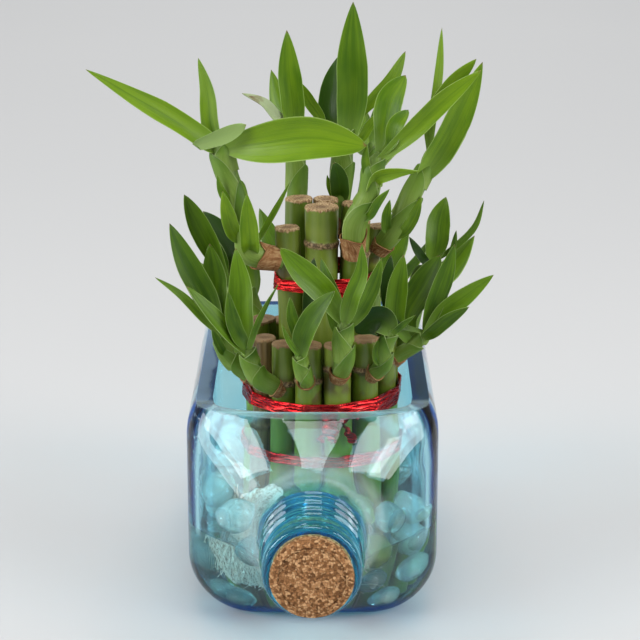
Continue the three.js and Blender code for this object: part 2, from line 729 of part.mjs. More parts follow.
        wide: 9.4, full: 0.55, roll: 0, blunt: 0.7,
      },
      {
        path: [[11, -72, 113], [8.6, -69.6, 122.4], [5.9, -66.9, 131.7], [3, -64, 141]],
        wide: 7, full: 0.4, roll: -10,
      },
    ],
  },
  lower_cane_06: {
    stem: [[21.5, -57, 93], [26, -62, 99.6], [26.7, -65, 106.9], [29.8, -67, 114]],
    radii: [2.6, 3.2, 3, 1.7],
    leaves: [
      {
        path: [[30, -66.7, 113.5], [25.6, -64.8, 117.6], [20.4, -62.9, 115.9], [16, -61.5, 111.3]],
        wide: 10.9, full: 0.5, roll: -10, blunt: 0.7,
      },
      {
        path: [[29.5, -67.4, 113.2], [31.9, -69.2, 115.9], [34.5, -70.8, 118.6], [37.6, -72, 121.1]],
        wide: 2.3, full: 0.4, roll: 15,
      },
      {
        path: [[25.7, -63.6, 100.8], [24, -66.2, 102.3], [23.7, -67.1, 106.4], [24.5, -67.5, 110.6]],
        wide: 3, full: 0.56, roll: 0,
      },
    ],
  },
  lower_cane_07: {
    stem: [[28.5, -43.5, 95], [37.1, -45, 100.9], [41, -46, 104.3], [43.6, -47, 108.1]],
    radii: [2.6, 2.8, 2.7, 1.7],
    leaves: [
      {
        path: [[42.7, -47.4, 106.9], [49.5, -49.4, 116.3], [58.4, -50.5, 123.7], [67.8, -51, 131]],
        wide: 7.4, full: 0.5, roll: 15,
      },
      {
        path: [[41.4, -47, 105], [44.6, -52.6, 109], [50.8, -57, 115.6], [58, -61, 121.2]],
        wide: 5.2, full: 0.56, roll: 20,
      },
      {
        path: [[42.9, -47.3, 107.9], [46, -49, 119.4], [49.9, -49.5, 130.8], [53.2, -50, 142.5]],
        wide: 7.2, full: 0.5, roll: 5,
      },
      {
        path: [[38.2, -45.3, 102.9], [35.9, -44.5, 113.5], [42, -43.2, 124.8], [48.1, -42, 136.2]],
        wide: 10.8, full: 0.61, roll: -10, blunt: 0.7,
      },
      {
        path: [[37.4, -45.6, 102.2], [31.5, -50.5, 113.2], [31.8, -54.1, 126.6], [33.8, -57, 140.3]],
        wide: 7.9, full: 0.6, roll: 0,
      },
      {
        path: [[42.3, -46.9, 107.3], [31.1, -50.8, 112.8], [28, -51, 125.3], [29.4, -50, 138.5]],
        wide: 5.3, full: 0.68, roll: 0,
      },
    ],
  },
  lower_cane_08: {
    stem: [[30, -33.5, 91], [35, -33, 98], [38.5, -32.5, 112], [41, -33, 125], [45, -33, 131]],
    radii: [2.8, 3.4, 3.2, 2.8, 1.8],
    leaves: [
      {
        path: [[45, -33.2, 130.6], [47, -32.5, 137.8], [48.1, -30, 146.9], [51, -28, 155.6]],
        wide: 9.2, full: 0.55, roll: 5,
      },
      {
        path: [[45, -33.1, 130.6], [53.8, -34.3, 137.5], [61.3, -35.5, 145.6], [64.9, -37, 156]],
        wide: 2.6, full: 0.54, roll: 20,
      },
      {
        path: [[45.1, -33.2, 130.4], [51.1, -34.9, 131.8], [53.5, -35, 137.6], [54.6, -35, 144.1]],
        wide: 2.3, full: 0.65, roll: 0,
      },
      {
        path: [[44.4, -33.7, 130.3], [42.6, -36.9, 132.9], [39.4, -38.3, 137.8], [36.6, -40, 142.9]],
        wide: 3.4, full: 0.53, roll: 0,
      },
      {
        path: [[40.3, -31.9, 118], [48.4, -26.9, 123.2], [56.1, -23, 130], [63, -20, 138]],
        wide: 10, full: 0.4, roll: 150,
      },
    ],
  },
  lower_cane_10: {
    stem: [[18.5, -14, 92], [22, -8, 97], [24, -3, 107], [25, 0, 117]],
    radii: [2.8, 3.4, 3.2, 2.2],
    leaves: [
      {
        path: [[25, -1, 114], [30.2, 4.8, 123], [34.5, 9.9, 133.1], [38, 14, 144]],
        wide: 11, full: 0.4, roll: 160,
      },
      {
        path: [[24, -1, 113], [21.6, 6.1, 121.9], [19, 13.2, 130.9], [16, 20, 140]],
        wide: 10, full: 0.4, roll: 185,
      },
      {
        path: [[24.9, -2.9, 110], [33, -1.8, 116.3], [40.5, -1.4, 123.7], [47, -2, 132]],
        wide: 9, full: 0.4, roll: 120,
      },
    ],
  },
  lower_cane_12: {
    stem: [[-3.5, -11, 93], [-5, -4, 98], [-6, 2, 108], [-6, 6, 118]],
    radii: [2.8, 3.5, 3.3, 2.2],
    leaves: [
      {
        path: [[-6, 4, 114], [-3.5, 11.8, 123.1], [-0.8, 19.2, 132.8], [2, 26, 143]],
        wide: 11, full: 0.4, roll: 175,
      },
      {
        path: [[-6, 4, 113], [-11.8, 10.4, 121.1], [-17.2, 16.4, 129.6], [-22, 22, 139]],
        wide: 11, full: 0.4, roll: 200,
      },
      {
        path: [[-6, 2, 110], [-7.1, 10.5, 115.7], [-8.4, 19.9, 120.1], [-10, 30, 122]],
        wide: 9, full: 0.4, roll: 180,
      },
    ],
  },
  lower_cane_13: {
    stem: [[-14, -17, 91], [-19, -13, 95], [-23, -9, 104], [-26, -7, 114]],
    radii: [2.8, 3.4, 3.2, 2.2],
    leaves: [
      {
        path: [[-25, -8, 110], [-31.2, -4, 119.8], [-36.9, -0.6, 130], [-42, 2, 141]],
        wide: 11, full: 0.4, roll: 215,
      },
      {
        path: [[-25, -8, 110], [-26.3, -2, 121.2], [-27.6, 3.4, 132.9], [-29, 8, 145]],
        wide: 10, full: 0.4, roll: 185,
      },
      {
        path: [[-23.9, -9.5, 105.9], [-32.1, -9.4, 113.2], [-40.7, -8.8, 120], [-50, -8, 126]],
        wide: 9, full: 0.4, roll: 240,
      },
    ],
  },
};

function buildCanes() {
  for (const cane of [...lowerCanes, ...upperCanes]) {
    const solids = [caneSolid(cane)];
    const shoot = shoots[cane.name];
    if (shoot) solids.push(stalk(shoot.stem, shoot.radii), ...shoot.leaves.map(blade));
    place(cane.name, fuse(solids), solids.length > 1 ? youngGreen : stalkGreen, 0.45, 0);
  }
}

// Outline pulled tight round a few circles
function tightOutline(circles, gap, steps) {
  const reach = (angle) => Math.max(...circles.map(([x, y, r]) => {
    return x * Math.cos(angle) + y * Math.sin(angle) + r + gap;
  }));
  const small = 0.02;
  return Array.from({ length: steps }, (_, i) => {
    const angle = (i / steps) * 2 * Math.PI;
    const out = reach(angle);
    const slope = (reach(angle + small) - reach(angle - small)) / (2 * small);
    return new THREE.Vector2(
      out * Math.cos(angle) - slope * Math.sin(angle),
      out * Math.sin(angle) + slope * Math.cos(angle),
    );
  });
}

// A solid round the canes' circles between two heights
function tiePrism(canes, z, height, gap) {
  const circles = canes.flatMap((cane) => [z - height / 2, z + height / 2].map((level) => {
    const middle = caneAxis(cane)(level);
    return [middle.x, middle.y, cane.radius];
  }));
  const outline = tightOutline(circles, gap, 40);
  return toSolid(loft([z - height / 2, z + height / 2].map((level) => {
    return outline.map((p) => new THREE.Vector3(p.x, p.y, level));
  })));
}

function buildTie(canes, z, height) {
  const outside = tiePrism(canes, z, height, clearance + tieThickness);
  return outside.subtract(tiePrism(canes, z, height + 2, clearance));
}

// The crossing of the lower tie's two ends
function tieKnot() {
  const lump = new THREE.SphereGeometry(1, 8, 6);
  lump.scale(4.6, 1.3, 2.8);
  lump.translate(bundle.x + 9, bundle.y - ringRadius - 6, lowerTieZ - 0.6);
  return toSolid(lump);
}

// Rounded pebbles, packed along the glass and over the top
function pebble(x, y, z, length, turn) {
  const stone = new THREE.SphereGeometry(1, 6, 3);
  stone.scale(0.72 * length, length, 0.78 * length);
  stone.rotateZ(turn);
  stone.translate(x, y, z);
  return toSolid(stone);
}

function buildPebbles() {
  const draw = makeDraw(7);
  const slab = boxBetween(new THREE.Vector3(-60, -66, 0), new THREE.Vector3(60, 90, bedCoreZ));
  const solids = [fillingLoft(wall + bedInset, clearance).intersect(slab)];
  const sideInset = waterLayer + clearance + 7;
  for (const { z, endY } of pebbleRows) {
    for (let y = -80; y < endY; y += 19.5) {
      const reach = innerReach(y, z) - sideInset;
      if (reach < 22) continue;
      solids.push(pebble(-reach, y + draw(), z + 2 * draw(), 8.8 + draw(), 0.4 * draw()));
      solids.push(pebble(reach, y + draw(), z + 2 * draw(), 8.8 + draw(), -0.4 * draw()));
    }
    for (let x = -22; x < 30 && endY > 0; x += 18) {
      solids.push(pebble(x, backY - wall - sideInset, z + 2 * draw(), 8.8 + draw(), Math.PI / 2));
    }
  }
  for (let y = 10; y < 54; y += 18) {
    for (let x = -19; x < 30; x += 17) {
      solids.push(pebble(x + 2 * draw(), y + 2 * draw(), bedCoreZ + 1 + 2 * draw(), 8 + draw(), 3 * draw()));
    }
  }
  return fuse(solids).intersect(fillingLoft(wall + waterLayer + clearance, clearance));
}

// Cream roots that fan out round the feet of the front canes, joined by a crown
function buildRoots(grow) {
  const draw = makeDraw(21);
  const fan = (degrees, reach, z) => {
    const turn = THREE.MathUtils.degToRad(degrees);
    return [bundle.x + reach * Math.sin(turn), bundle.y - reach * Math.cos(turn), z];
  };
  const crownRadius = rootFan.thick + 0.5 + grow;
  const crown = [-1, -0.6, -0.2, 0.2, 0.6, 1].map((share) => {
    return fan(share * rootFan.spread, rootFan.crown, rootFan.topZ);
  });
  const solids = [stalk(crown, [crownRadius, crownRadius])];
  for (let i = 0; i < rootFan.strands; i++) {
    const degrees = rootFan.spread * ((2 * i) / (rootFan.strands - 1) - 1);
    const middle = fan(degrees * 1.02, rootFan.crown + 4, 36 + 3 * draw());
    const footTurn = degrees * 1.05 + 4 * draw();
    const end = fan(footTurn, rootFan.foot + 2 * draw() + grow, rootFan.footZ + 5 * draw() - 2 * grow);
    const radii = [1, 0.85, 0.5].map((share) => share * rootFan.thick + grow);
    solids.push(stalk([fan(degrees, rootFan.crown, rootFan.topZ), middle, end], radii, 4));
  }
  return fuse(solids).intersect(fillingLoft(wall + waterLayer + clearance - grow, clearance));
}

function bundleHole(grow) {
  const sides = 26;
  const hole = new THREE.CylinderGeometry(1, 1, 200, sides);
  hole.rotateX(Math.PI / 2);
  const radius = (ringRadius + 5.1 + nodeSwell + grow) / Math.cos(Math.PI / sides);
  hole.scale(radius, radius, 1);
  hole.translate(bundle.x, bundle.y, 0);
  return toSolid(hole);
}

// Still water in the bottle, outside the pebbles
function buildWater() {
  const flood = boxBetween(new THREE.Vector3(-60, -99, 0), new THREE.Vector3(60, 90, waterZ));
  const full = bodyLoft(wall + clearance).intersect(flood);
  return full.subtract(fillingLoft(wall + waterLayer, -2)).subtract(bundleHole(clearance));
}

place("bottle", buildBottle(), glassBlue, 0.05, 0);
place("cork", buildCork(), corkBrown, 0.9, 0);
place("water", largestBody(buildWater()), waterBlue, 0.02, 0);
const bed = buildPebbles().subtract(bundleHole(clearance)).subtract(buildRoots(2.6 * clearance));
place("pebbles", largestBody(bed), pebbleGreen, 0.2, 0);
place("roots", largestBody(buildRoots(0)), rootCream, 0.8, 0);
buildCanes();
place("foot_tie", buildTie(lowerCanes, footTieZ, footTieHeight), foilRed, 0.3, 0.8);
place("lower_tie", buildTie(lowerCanes, lowerTieZ, lowerTieHeight).add(tieKnot()), foilRed, 0.3, 0.8);
place("upper_tie", buildTie(upperCanes.slice(0, 7), upperTieZ, upperTieHeight), foilRed, 0.3, 0.8);

export default plant;
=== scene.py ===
# A two-tier lucky bamboo tied with red foil, standing in a glass bottle that lies on its side.
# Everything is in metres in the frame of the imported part: +Z up, the bottle's neck towards -Y.

import math
import random

import bpy
from mathutils import Matrix, Vector, noise


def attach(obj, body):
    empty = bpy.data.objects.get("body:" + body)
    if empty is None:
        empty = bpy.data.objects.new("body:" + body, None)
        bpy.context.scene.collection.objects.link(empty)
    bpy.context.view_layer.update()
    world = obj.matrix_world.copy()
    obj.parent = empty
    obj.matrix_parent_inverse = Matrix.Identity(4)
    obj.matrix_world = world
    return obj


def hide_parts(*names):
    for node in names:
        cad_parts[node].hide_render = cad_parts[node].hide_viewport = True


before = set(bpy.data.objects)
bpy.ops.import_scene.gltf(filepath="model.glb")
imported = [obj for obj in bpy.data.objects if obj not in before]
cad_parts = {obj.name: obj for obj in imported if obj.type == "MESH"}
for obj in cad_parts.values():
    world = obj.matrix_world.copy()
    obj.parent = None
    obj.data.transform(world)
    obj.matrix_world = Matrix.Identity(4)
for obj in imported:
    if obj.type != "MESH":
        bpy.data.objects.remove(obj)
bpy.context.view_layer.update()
mm = 0.001


# Working with Blender's tools

def pick(*pieces):
    bpy.ops.object.select_all(action="DESELECT")
    for piece in pieces:
        piece.select_set(True)
    bpy.context.view_layer.objects.active = pieces[0]


def applyModifier(piece, kind, **settings):
    pick(piece)
    modifier = piece.modifiers.new(kind.lower(), kind)
    for key, value in settings.items():
        setattr(modifier, key, value)
    bpy.ops.object.modifier_apply(modifier=modifier.name)


def joinAll(pieces, name):
    pick(*pieces)
    if len(pieces) > 1:
        bpy.ops.object.join()
    joined = bpy.context.view_layer.objects.active
    joined.name = joined.data.name = name
    return joined


def edit(piece):
    pick(piece)
    bpy.ops.object.mode_set(mode="EDIT")
    bpy.ops.mesh.select_mode(type="VERT")
    bpy.ops.mesh.select_all(action="DESELECT")


def leaveEdit():
    bpy.ops.object.mode_set(mode="OBJECT")


def turnOutward():  # all faces of the piece in edit mode, which is then left
    bpy.ops.mesh.select_all(action="SELECT")
    bpy.ops.mesh.normals_make_consistent(inside=False)
    leaveEdit()


def selectWhere(piece, test):  # picks vertices by their place, while in edit mode
    bpy.ops.object.mode_set(mode="OBJECT")
    for vertex in piece.data.vertices:
        vertex.select = test(vertex.co)
    bpy.ops.object.mode_set(mode="EDIT")


def smooth(piece, degrees=40):
    pick(piece)
    bpy.ops.object.shade_smooth_by_angle(angle=math.radians(degrees))


def finishPiece(piece, slotName, *nodes):
    pick(piece)
    bpy.ops.object.transform_apply(location=True, rotation=True, scale=True)
    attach(piece, "root")
    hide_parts(*nodes)


def addObject(name, data):
    piece = bpy.data.objects.new(name, data)
    bpy.context.scene.collection.objects.link(piece)
    return piece


def copyOf(piece):  # with its own mesh
    return addObject(piece.name, piece.data.copy())


def meshPiece(name, points, faces):
    mesh = bpy.data.meshes.new(name)
    mesh.from_pydata([tuple(p) for p in points], [], faces)
    mesh.validate()
    piece = addObject(name, mesh)
    edit(piece)
    turnOutward()
    return piece


def skinRings(name, rings):  # a closed skin over rings of points, with a point in the middle of each end
    count = len(rings[0])
    points = [point for ring in rings for point in ring]
    faces = []
    for r in range(len(rings) - 1):
        for i in range(count):
            j = (i + 1) % count
            faces.append((r * count + i, r * count + j, (r + 1) * count + j, (r + 1) * count + i))
    for first, flip in ((0, True), ((len(rings) - 1) * count, False)):
        ring = points[first:first + count]
        points.append(sum(ring, Vector()) / count)
        hub = len(points) - 1
        for i in range(count):
            edge = (first + i, first + (i + 1) % count)
            faces.append((hub, edge[1], edge[0]) if flip else (hub, edge[0], edge[1]))
    return meshPiece(name, points, faces)


def setAttribute(piece, name, values):
    attribute = piece.data.attributes.get(name) or piece.data.attributes.new(name, "FLOAT", "POINT")
    attribute.data.foreach_set("value", values)


def lerp(a, b, t):
    return a + (b - a) * t


def turns(count, shift=0):  # angles all the way round
    return [(k + shift) / count * 2 * math.pi for k in range(count)]


def splinePoint(points, t):  # Catmull-Rom through the points, t from 0 to 1
    along = min(max(t, 0), 1) * (len(points) - 1)
    k = min(int(along), len(points) - 2)
    t = along - k
    p1, p2 = points[k], points[k + 1]
    p0 = points[k - 1] if k > 0 else p1 * 2 - p2
    p3 = points[k + 2] if k + 2 < len(points) else p2 * 2 - p1
    m1, m2 = (p2 - p0) / 2, (p3 - p1) / 2
    return (
        p1 * (2 * t ** 3 - 3 * t ** 2 + 1) + m1 * (t ** 3 - 2 * t ** 2 + t)
        + p2 * (3 * t ** 2 - 2 * t ** 3) + m2 * (t ** 3 - t ** 2)
    )


# Shader nodes written as expressions

class Wire:
    def __init__(self, finish, socket):
        self.finish = finish
        self.socket = socket

    def maths(self, operation, *values):
        return self.finish.node("ShaderNodeMath", {"operation": operation}, dict(enumerate(values)))

    def __add__(self, other):
        return self.maths("ADD", self, other)

    def __radd__(self, other):
        return self.maths("ADD", other, self)

    def __sub__(self, other):
        return self.maths("SUBTRACT", self, other)

    def __rsub__(self, other):
        return self.maths("SUBTRACT", other, self)

    def __mul__(self, other):
        return self.maths("MULTIPLY", self, other)

    def __rmul__(self, other):
        return self.maths("MULTIPLY", other, self)

    def __pow__(self, other):
        return self.maths("POWER", self, other)

    def __abs__(self):
        return self.maths("ABSOLUTE", self)

    def between(self, low, high):  # 0 below low, 1 above high, smooth between
        return self.finish.node(
            "ShaderNodeMapRange", {"interpolation_type": "SMOOTHSTEP"},
            {"Value": self, "From Min": low, "From Max": high},
        )


class Finish:
    def __init__(self, name, settings):
        self.material = bpy.data.materials.new(name)
        self.material.use_nodes = True
        self.tree = self.material.node_tree
        self.shader = self.tree.nodes["Principled BSDF"]
        for socket, value in settings.items():
            self.shader.inputs[socket].default_value = value

    def node(self, kind, settings=None, sockets=None, out=0):
        made = self.tree.nodes.new(kind)
        for key, value in (settings or {}).items():
            if key == "stops":
                self.setStops(made.color_ramp, value)
            else:
                setattr(made, key, value)
        for key, value in (sockets or {}).items():
            self.feed(made.inputs[key], value)
        return Wire(self, made.outputs[out])

    def setStops(self, ramp, stops):
        while len(ramp.elements) < len(stops):
            ramp.elements.new(0.5)
        for element, (place, color) in zip(ramp.elements, stops):
            element.position = place
            element.color = (*color, 1)

    def feed(self, socket, value):
        if isinstance(value, Wire):
            self.tree.links.new(value.socket, socket)
        elif hasattr(value, "__len__") and len(value) == 3 and socket.type == "RGBA":
            socket.default_value = (*value, 1)
        else:
            socket.default_value = value

    def place(self):
        return self.node("ShaderNodeTexCoord", out="Object")

    def scaled(self, vector, x, y, z):
        return self.node("ShaderNodeMapping", None, {"Vector": vector, "Scale": (x, y, z)})

    def parts(self, vector):
        made = self.tree.nodes.new("ShaderNodeSeparateXYZ")
        self.feed(made.inputs[0], vector)
        return [Wire(self, made.outputs[k]) for k in range(3)]

    def joined(self, x, y, z):
        return self.node("ShaderNodeCombineXYZ", None, {"X": x, "Y": y, "Z": z})

    def attribute(self, name):
        return self.node("ShaderNodeAttribute", {"attribute_name": name}, out="Fac")

    def grain(self, vector, scale, detail=3, roughness=0.55):
        return self.node(
            "ShaderNodeTexNoise", None,
            {"Vector": vector, "Scale": scale, "Detail": detail, "Roughness": roughness},
        )

    def drawnOut(self, x, y, z, detail=2):  # a grain over coordinates that are already scaled
        return self.grain(self.joined(x, y, z), 1.0, detail)

    def streaks(self, vector, x, y, z, detail=2):  # a grain with its own scale each way
        return self.grain(self.scaled(vector, x, y, z), 1.0, detail)

    def leafPlace(self):  # across and along a leaf, each from 0 to 1
        return self.parts(self.node("ShaderNodeUVMap", {"uv_map": "UVMap"}))[:2]

    def cells(self, vector, scale, feature="F1", out="Distance"):
        return self.node(
            "ShaderNodeTexVoronoi", {"feature": feature}, {"Vector": vector, "Scale": scale}, out
        )

    def ramp(self, value, *stops):
        return self.node("ShaderNodeValToRGB", {"stops": stops}, {"Fac": value})

    def mix(self, share, a, b):  # of two colours
        return self.node("ShaderNodeMix", {"data_type": "RGBA"}, {0: share, 6: a, 7: b}, out=2)

    def color(self, value):
        self.feed(self.shader.inputs["Base Color"], value)

    def rough(self, value):
        self.feed(self.shader.inputs["Roughness"], value)

    def bump(self, height, distance, strength=1.0):
        bumped = self.node(
            "ShaderNodeBump", None, {"Height": height, "Distance": distance, "Strength": strength}
        )
        self.feed(self.shader.inputs["Normal"], bumped)

    def mixShaders(self, share, first, second):
        return self.node("ShaderNodeMixShader", None, {0: share, 1: first, 2: second})

    def clearInShadow(self, tint, surface=None):  # lamps reach through it, tinted
        clear = self.node("ShaderNodeBsdfTransparent", None, {"Color": tint})
        shadow = self.node("ShaderNodeLightPath", out="Is Shadow Ray")
        mixed = self.mixShaders(shadow, surface or Wire(self, self.shader.outputs[0]), clear)
        self.feed(self.tree.nodes["Material Output"].inputs["Surface"], mixed)


# Finishes

greenFlesh = {"Subsurface Weight": 0.06, "Subsurface Radius": (0.4, 0.8, 0.1), "Subsurface Scale": 0.002}
leafLook = {
    "upper": {"deep": (0.042, 0.114, 0.0008), "fresh": (0.142, 0.252, 0.004), "base": (0.2, 0.33, 0.05)},
    # the lower tier's greens are painted darker than the upper tier's, as painted shade
    "lower": {"deep": (0.024, 0.07, 0.0008), "fresh": (0.1, 0.2, 0.003), "base": (0.17, 0.29, 0.04)},
    "margin": (0.38, 0.5, 0.16),
    "brown": (0.16, 0.09, 0.035),
    "pale": (0.25, 0.36, 0.12),
    "shade": (0.01, 0.032, 0.002),
    "faded": (0.36, 0.42, 0.25),
}


def leafFinish(tier):
    look = leafLook[tier]
    finish = Finish(tier + "Leaf", {**greenFlesh, "Specular IOR Level": 0.25})
    across, along = finish.leafPlace()
    tint = finish.attribute("tint")
    fromMiddle = abs(across * 2 - 1)
    veins = finish.drawnOut(across * 46, along * 1.3, tint * 37)
    bands = finish.drawnOut(across * 5, along * 0.9, tint * 53)
    broad = finish.drawnOut(across * 2.4, along * 3.0, tint * 21)
    share = veins * 0.35 + bands * 0.7 + broad * 0.6 + tint * 0.4 - 0.5
    green = finish.mix(share.between(0.1, 0.85), look["deep"], look["fresh"])
    dark = 1 - tint.between(-0.9, -0.5)  # a leaf whose tint is below 0 stands in the shade
    green = finish.mix(dark * 0.6, green, leafLook["shade"])
    groove = (1 - fromMiddle * 9).between(0, 1) * 0.35  # the midrib is a little darker
    green = finish.mix(groove, green, look["deep"])
    paleBase = finish.mix((1 - along).between(0.66, 1.02) * 0.75, green, look["base"])
    margin = fromMiddle.between(0.93, 0.99)
    edged = finish.mix(margin * 0.5, paleBase, leafLook["margin"])
    tip = along.between(0.965, 0.995) * broad.between(0.45, 0.6)
    pale = tint.between(1.4, 1.6)  # one with a tint of 2 is pale all over, and one near 1 has faded
    edged = finish.mix(pale * 0.85, edged, leafLook["pale"])
    dried = tint.between(0.95, 0.99) * (1 - pale)
    faded = finish.mix(dried * 0.85, edged, leafLook["faded"])
    spots = along.between(0.5, 1.0) * finish.drawnOut(across * 2, along * 6, 3.3).between(0.5, 0.62)
    browned = finish.mix(dried * spots, faded, leafLook["brown"])
    finish.color(finish.mix(tip, browned, leafLook["brown"]))
    finish.rough(0.27 + broad * 0.16)
    finish.bump(veins, 0.00022, 0.5)
    return finish.material


sheathLook = {
    "foot": ((0.115, 0.195, 0.022), (0.21, 0.3, 0.06)),
    "green": ((0.05, 0.12, 0.005), (0.12, 0.22, 0.02)),
    "margin": (0.4, 0.48, 0.22),
}


def sheathFinish():  # pale at its foot and green towards its point
    finish = Finish("leafSheath", {**greenFlesh, "Specular IOR Level": 0.25})
    across, along = finish.leafPlace()
    tint = finish.attribute("tint")
    fromMiddle = abs(across * 2 - 1)
    veins = finish.drawnOut(across * 40, along * 1.2, tint * 37)
    broad = finish.drawnOut(across * 3, along * 2, tint * 21)
    foot = finish.mix((veins * 0.4 + broad * 0.6).between(0.3, 0.7), *sheathLook["foot"])
    green = finish.mix((broad * 0.8 + tint * 0.3).between(0.3, 0.8), *sheathLook["green"])
    body = finish.mix((along + (broad - 0.5) * 0.5).between(0.1, 0.85), foot, green)
    finish.color(finish.mix(fromMiddle.between(0.94, 0.99) * 0.45, body, sheathLook["margin"]))
    finish.rough(0.38 + broad * 0.15)
    finish.bump(veins, 0.0002, 0.5)
    return finish.material


stemLook = {"deep": (0.09, 0.17, 0.018), "fresh": (0.17, 0.27, 0.05), "blotch": (0.21, 0.3, 0.09)}


def stemFinish():
    finish = Finish("shootStem", {**greenFlesh, "Specular IOR Level": 0.35})
    place = finish.place()
    streaks = finish.streaks(place, 900, 900, 60)
    blotch = finish.grain(place, 90, 3)
    color = finish.mix(streaks.between(0.3, 0.7), stemLook["deep"], stemLook["fresh"])
    finish.color(finish.mix(blotch.between(0.45, 0.75) * 0.5, color, stemLook["blotch"]))
    finish.rough(0.36 + streaks * 0.12)
    finish.bump(streaks, 0.00015, 0.4)
    return finish.material


caneLook = {
    "green": (0.085, 0.14, 0.012),
    "olive": (0.16, 0.215, 0.025),
    "pale": (0.2, 0.25, 0.045),
    "ring": (0.36, 0.24, 0.12),
    "dark": (0.07, 0.035, 0.015),
    "dry": (0.17, 0.105, 0.045),
    "cut": ((0.3, (0.1, 0.045, 0.018)), (0.48, (0.38, 0.235, 0.11)), (0.7, (0.66, 0.49, 0.28))),
    # the next colour darkens the cuts of the lower tier
    "lowerCutDark": (0.13, 0.075, 0.03),
    "core": (0.13, 0.065, 0.028),
}


def caneFinish():
    look = caneLook
    finish = Finish("bambooCane", {"Specular IOR Level": 0.38, "Coat Weight": 0.1, "Coat Roughness": 0.25})
    place = finish.place()
    fromJoint = finish.attribute("fromJoint")  # millimetres above or below the nearest joint
    fromTop = finish.attribute("fromTop")  # millimetres below the cut
    inward = finish.attribute("inward")  # 1 in the middle of the cut
    tint = finish.attribute("tint")
    streaks = finish.streaks(place, 700, 700, 22, 3)
    blotch = finish.grain(place, 70, 3)
    fine = finish.grain(place, 900, 2)
    mottle = streaks * 0.6 + blotch * 0.6 + tint * 0.5 - 0.35
    green = finish.mix(mottle.between(0.15, 0.85), look["green"], look["olive"])
    pale = finish.mix((1 - abs(fromJoint - 4.5) * 0.22).between(0, 1) * 0.45, green, look["pale"])
    ragged = fromJoint + (blotch - 0.5) * 2.2 + (fine - 0.5) * 1.2
    patches = finish.grain(place, 120, 2).between(0.5, 0.62)
    bruise = (1 - abs(fromJoint + 3.5) * 0.13).between(0, 0.6) * patches
    bruised = finish.mix(bruise * 0.7, pale, look["dark"])
    ring = 1 - abs(ragged + 0.1).between(0.6, 1.5)
    ringColor = finish.mix(fine.between(0.35, 0.7), look["dark"], look["ring"])
    ringed = finish.mix(ring * 0.92, bruised, ringColor)
    dead = tint.between(1.4, 1.6)  # one cane of the ring has dried out
    dried = finish.mix(streaks.between(0.35, 0.65), look["dark"], look["dry"])
    ringed = finish.mix(dead * 0.95, ringed, dried)
    frayed = 1 - (fromTop + (streaks - 0.5) * 3.4).between(0.7, 1.5)
    fibres = finish.streaks(place, 1500, 1500, 300, 3)
    cut = finish.ramp(fibres, *look["cut"])
    low = 1 - finish.parts(place)[2].between(0.115, 0.13)  # the cuts of the lower tier are darker
    cut = finish.mix(low * fibres.between(0.3, 0.6) * 0.75, cut, look["lowerCutDark"])
    core = finish.mix((inward + (blotch - 0.5) * 0.8).between(0.25, 0.75) * 0.6, cut, look["core"])
    finish.color(finish.mix(frayed, ringed, core))
    dry = lerp(ring * 0.8, 1.0, frayed)
    finish.rough(0.33 + dry * 0.5)
    finish.bump(lerp(streaks * 0.25 + fine * ring, fibres, frayed), 0.0006, 0.7)
    return finish.material


huskTones = ((0.3, (0.075, 0.03, 0.012)), (0.48, (0.27, 0.12, 0.045)), (0.68, (0.5, 0.33, 0.16)))


def huskFinish():
    finish = Finish("dryHusk", {"Roughness": 0.8, "Specular IOR Level": 0.2})
    across, along = finish.leafPlace()
    tint = finish.attribute("tint")
    fibres = finish.drawnOut(across * 30, along * 1.6, tint * 31, 3)
    patch = finish.drawnOut(across * 3, along * 3, tint * 17)
    finish.color(finish.ramp(fibres * 0.6 + patch * 0.4, *huskTones))
    finish.bump(fibres, 0.0004, 0.8)
    return finish.material


# reds laid over the crumples: lighter on their ridges as painted highlight, darker in the hollows as painted
# shade
foilLitAndShadedReds = ((0.2, (0.12, 0.002, 0.003)), (0.5, (0.46, 0.008, 0.012)), (0.8, (0.78, 0.05, 0.045)))


def foilFinish():
    finish = Finish("redFoil", {"Metallic": 0.95, "Roughness": 0.3, "Specular IOR Level": 0.6})
    place = finish.place()
    creasesAndPaintedLight = finish.cells(finish.scaled(place, 190, 190, 1000), 1.0)
    fine = finish.streaks(place, 300, 300, 1400, 3)
    # the crumples paint highlight and shade into the foil's red
    finish.color(finish.ramp(creasesAndPaintedLight * 0.6 + fine * 0.5, *foilLitAndShadedReds))
    finish.rough(0.17 + fine * 0.22)
    finish.bump(creasesAndPaintedLight + fine * 0.7, 0.0007, 0.8)
    return finish.material


def glassWalls(finish, body, place):  # feeds the glass itself, with painted shade along its bottom and painted streaks of bent light in its walls, and gives the mask of the neck
    side, back, height = finish.parts(place)
    thick = finish.mix(1 - height.between(0.0, 0.012), body["clear"], body["deep"])  # painted shade: the glass is painted deeper blue along the bottom, by the floor
    drops = 1 - finish.cells(place, 330).between(0.1, 0.34)  # damp on the inner left wall, above the water
    damp = drops * height.between(*body["dampZ"]) * (1 - abs(side - body["dampX"]).between(0.001, 0.0015))
    bentLightStreaks = finish.streaks(place, 30, 130, 22).between(0.4, 0.62)  # painted streaks of light bent by the wavy walls
    walls = finish.mix(bentLightStreaks, body["walls"], body["wallLightStreaks"])
    thick = finish.mix(back.between(-0.055, -0.045), thick, finish.mix(damp, walls, body["damp"]))
    onNeck = 1 - back.between(-0.11, -0.104)
    finish.color(finish.mix(1 - back.between(-0.11, -0.1), thick, body["neck"]))
    finish.bump(finish.grain(place, 34, 1) * (1 - onNeck) + damp * 0.3, 0.002, 0.4)
    return onNeck


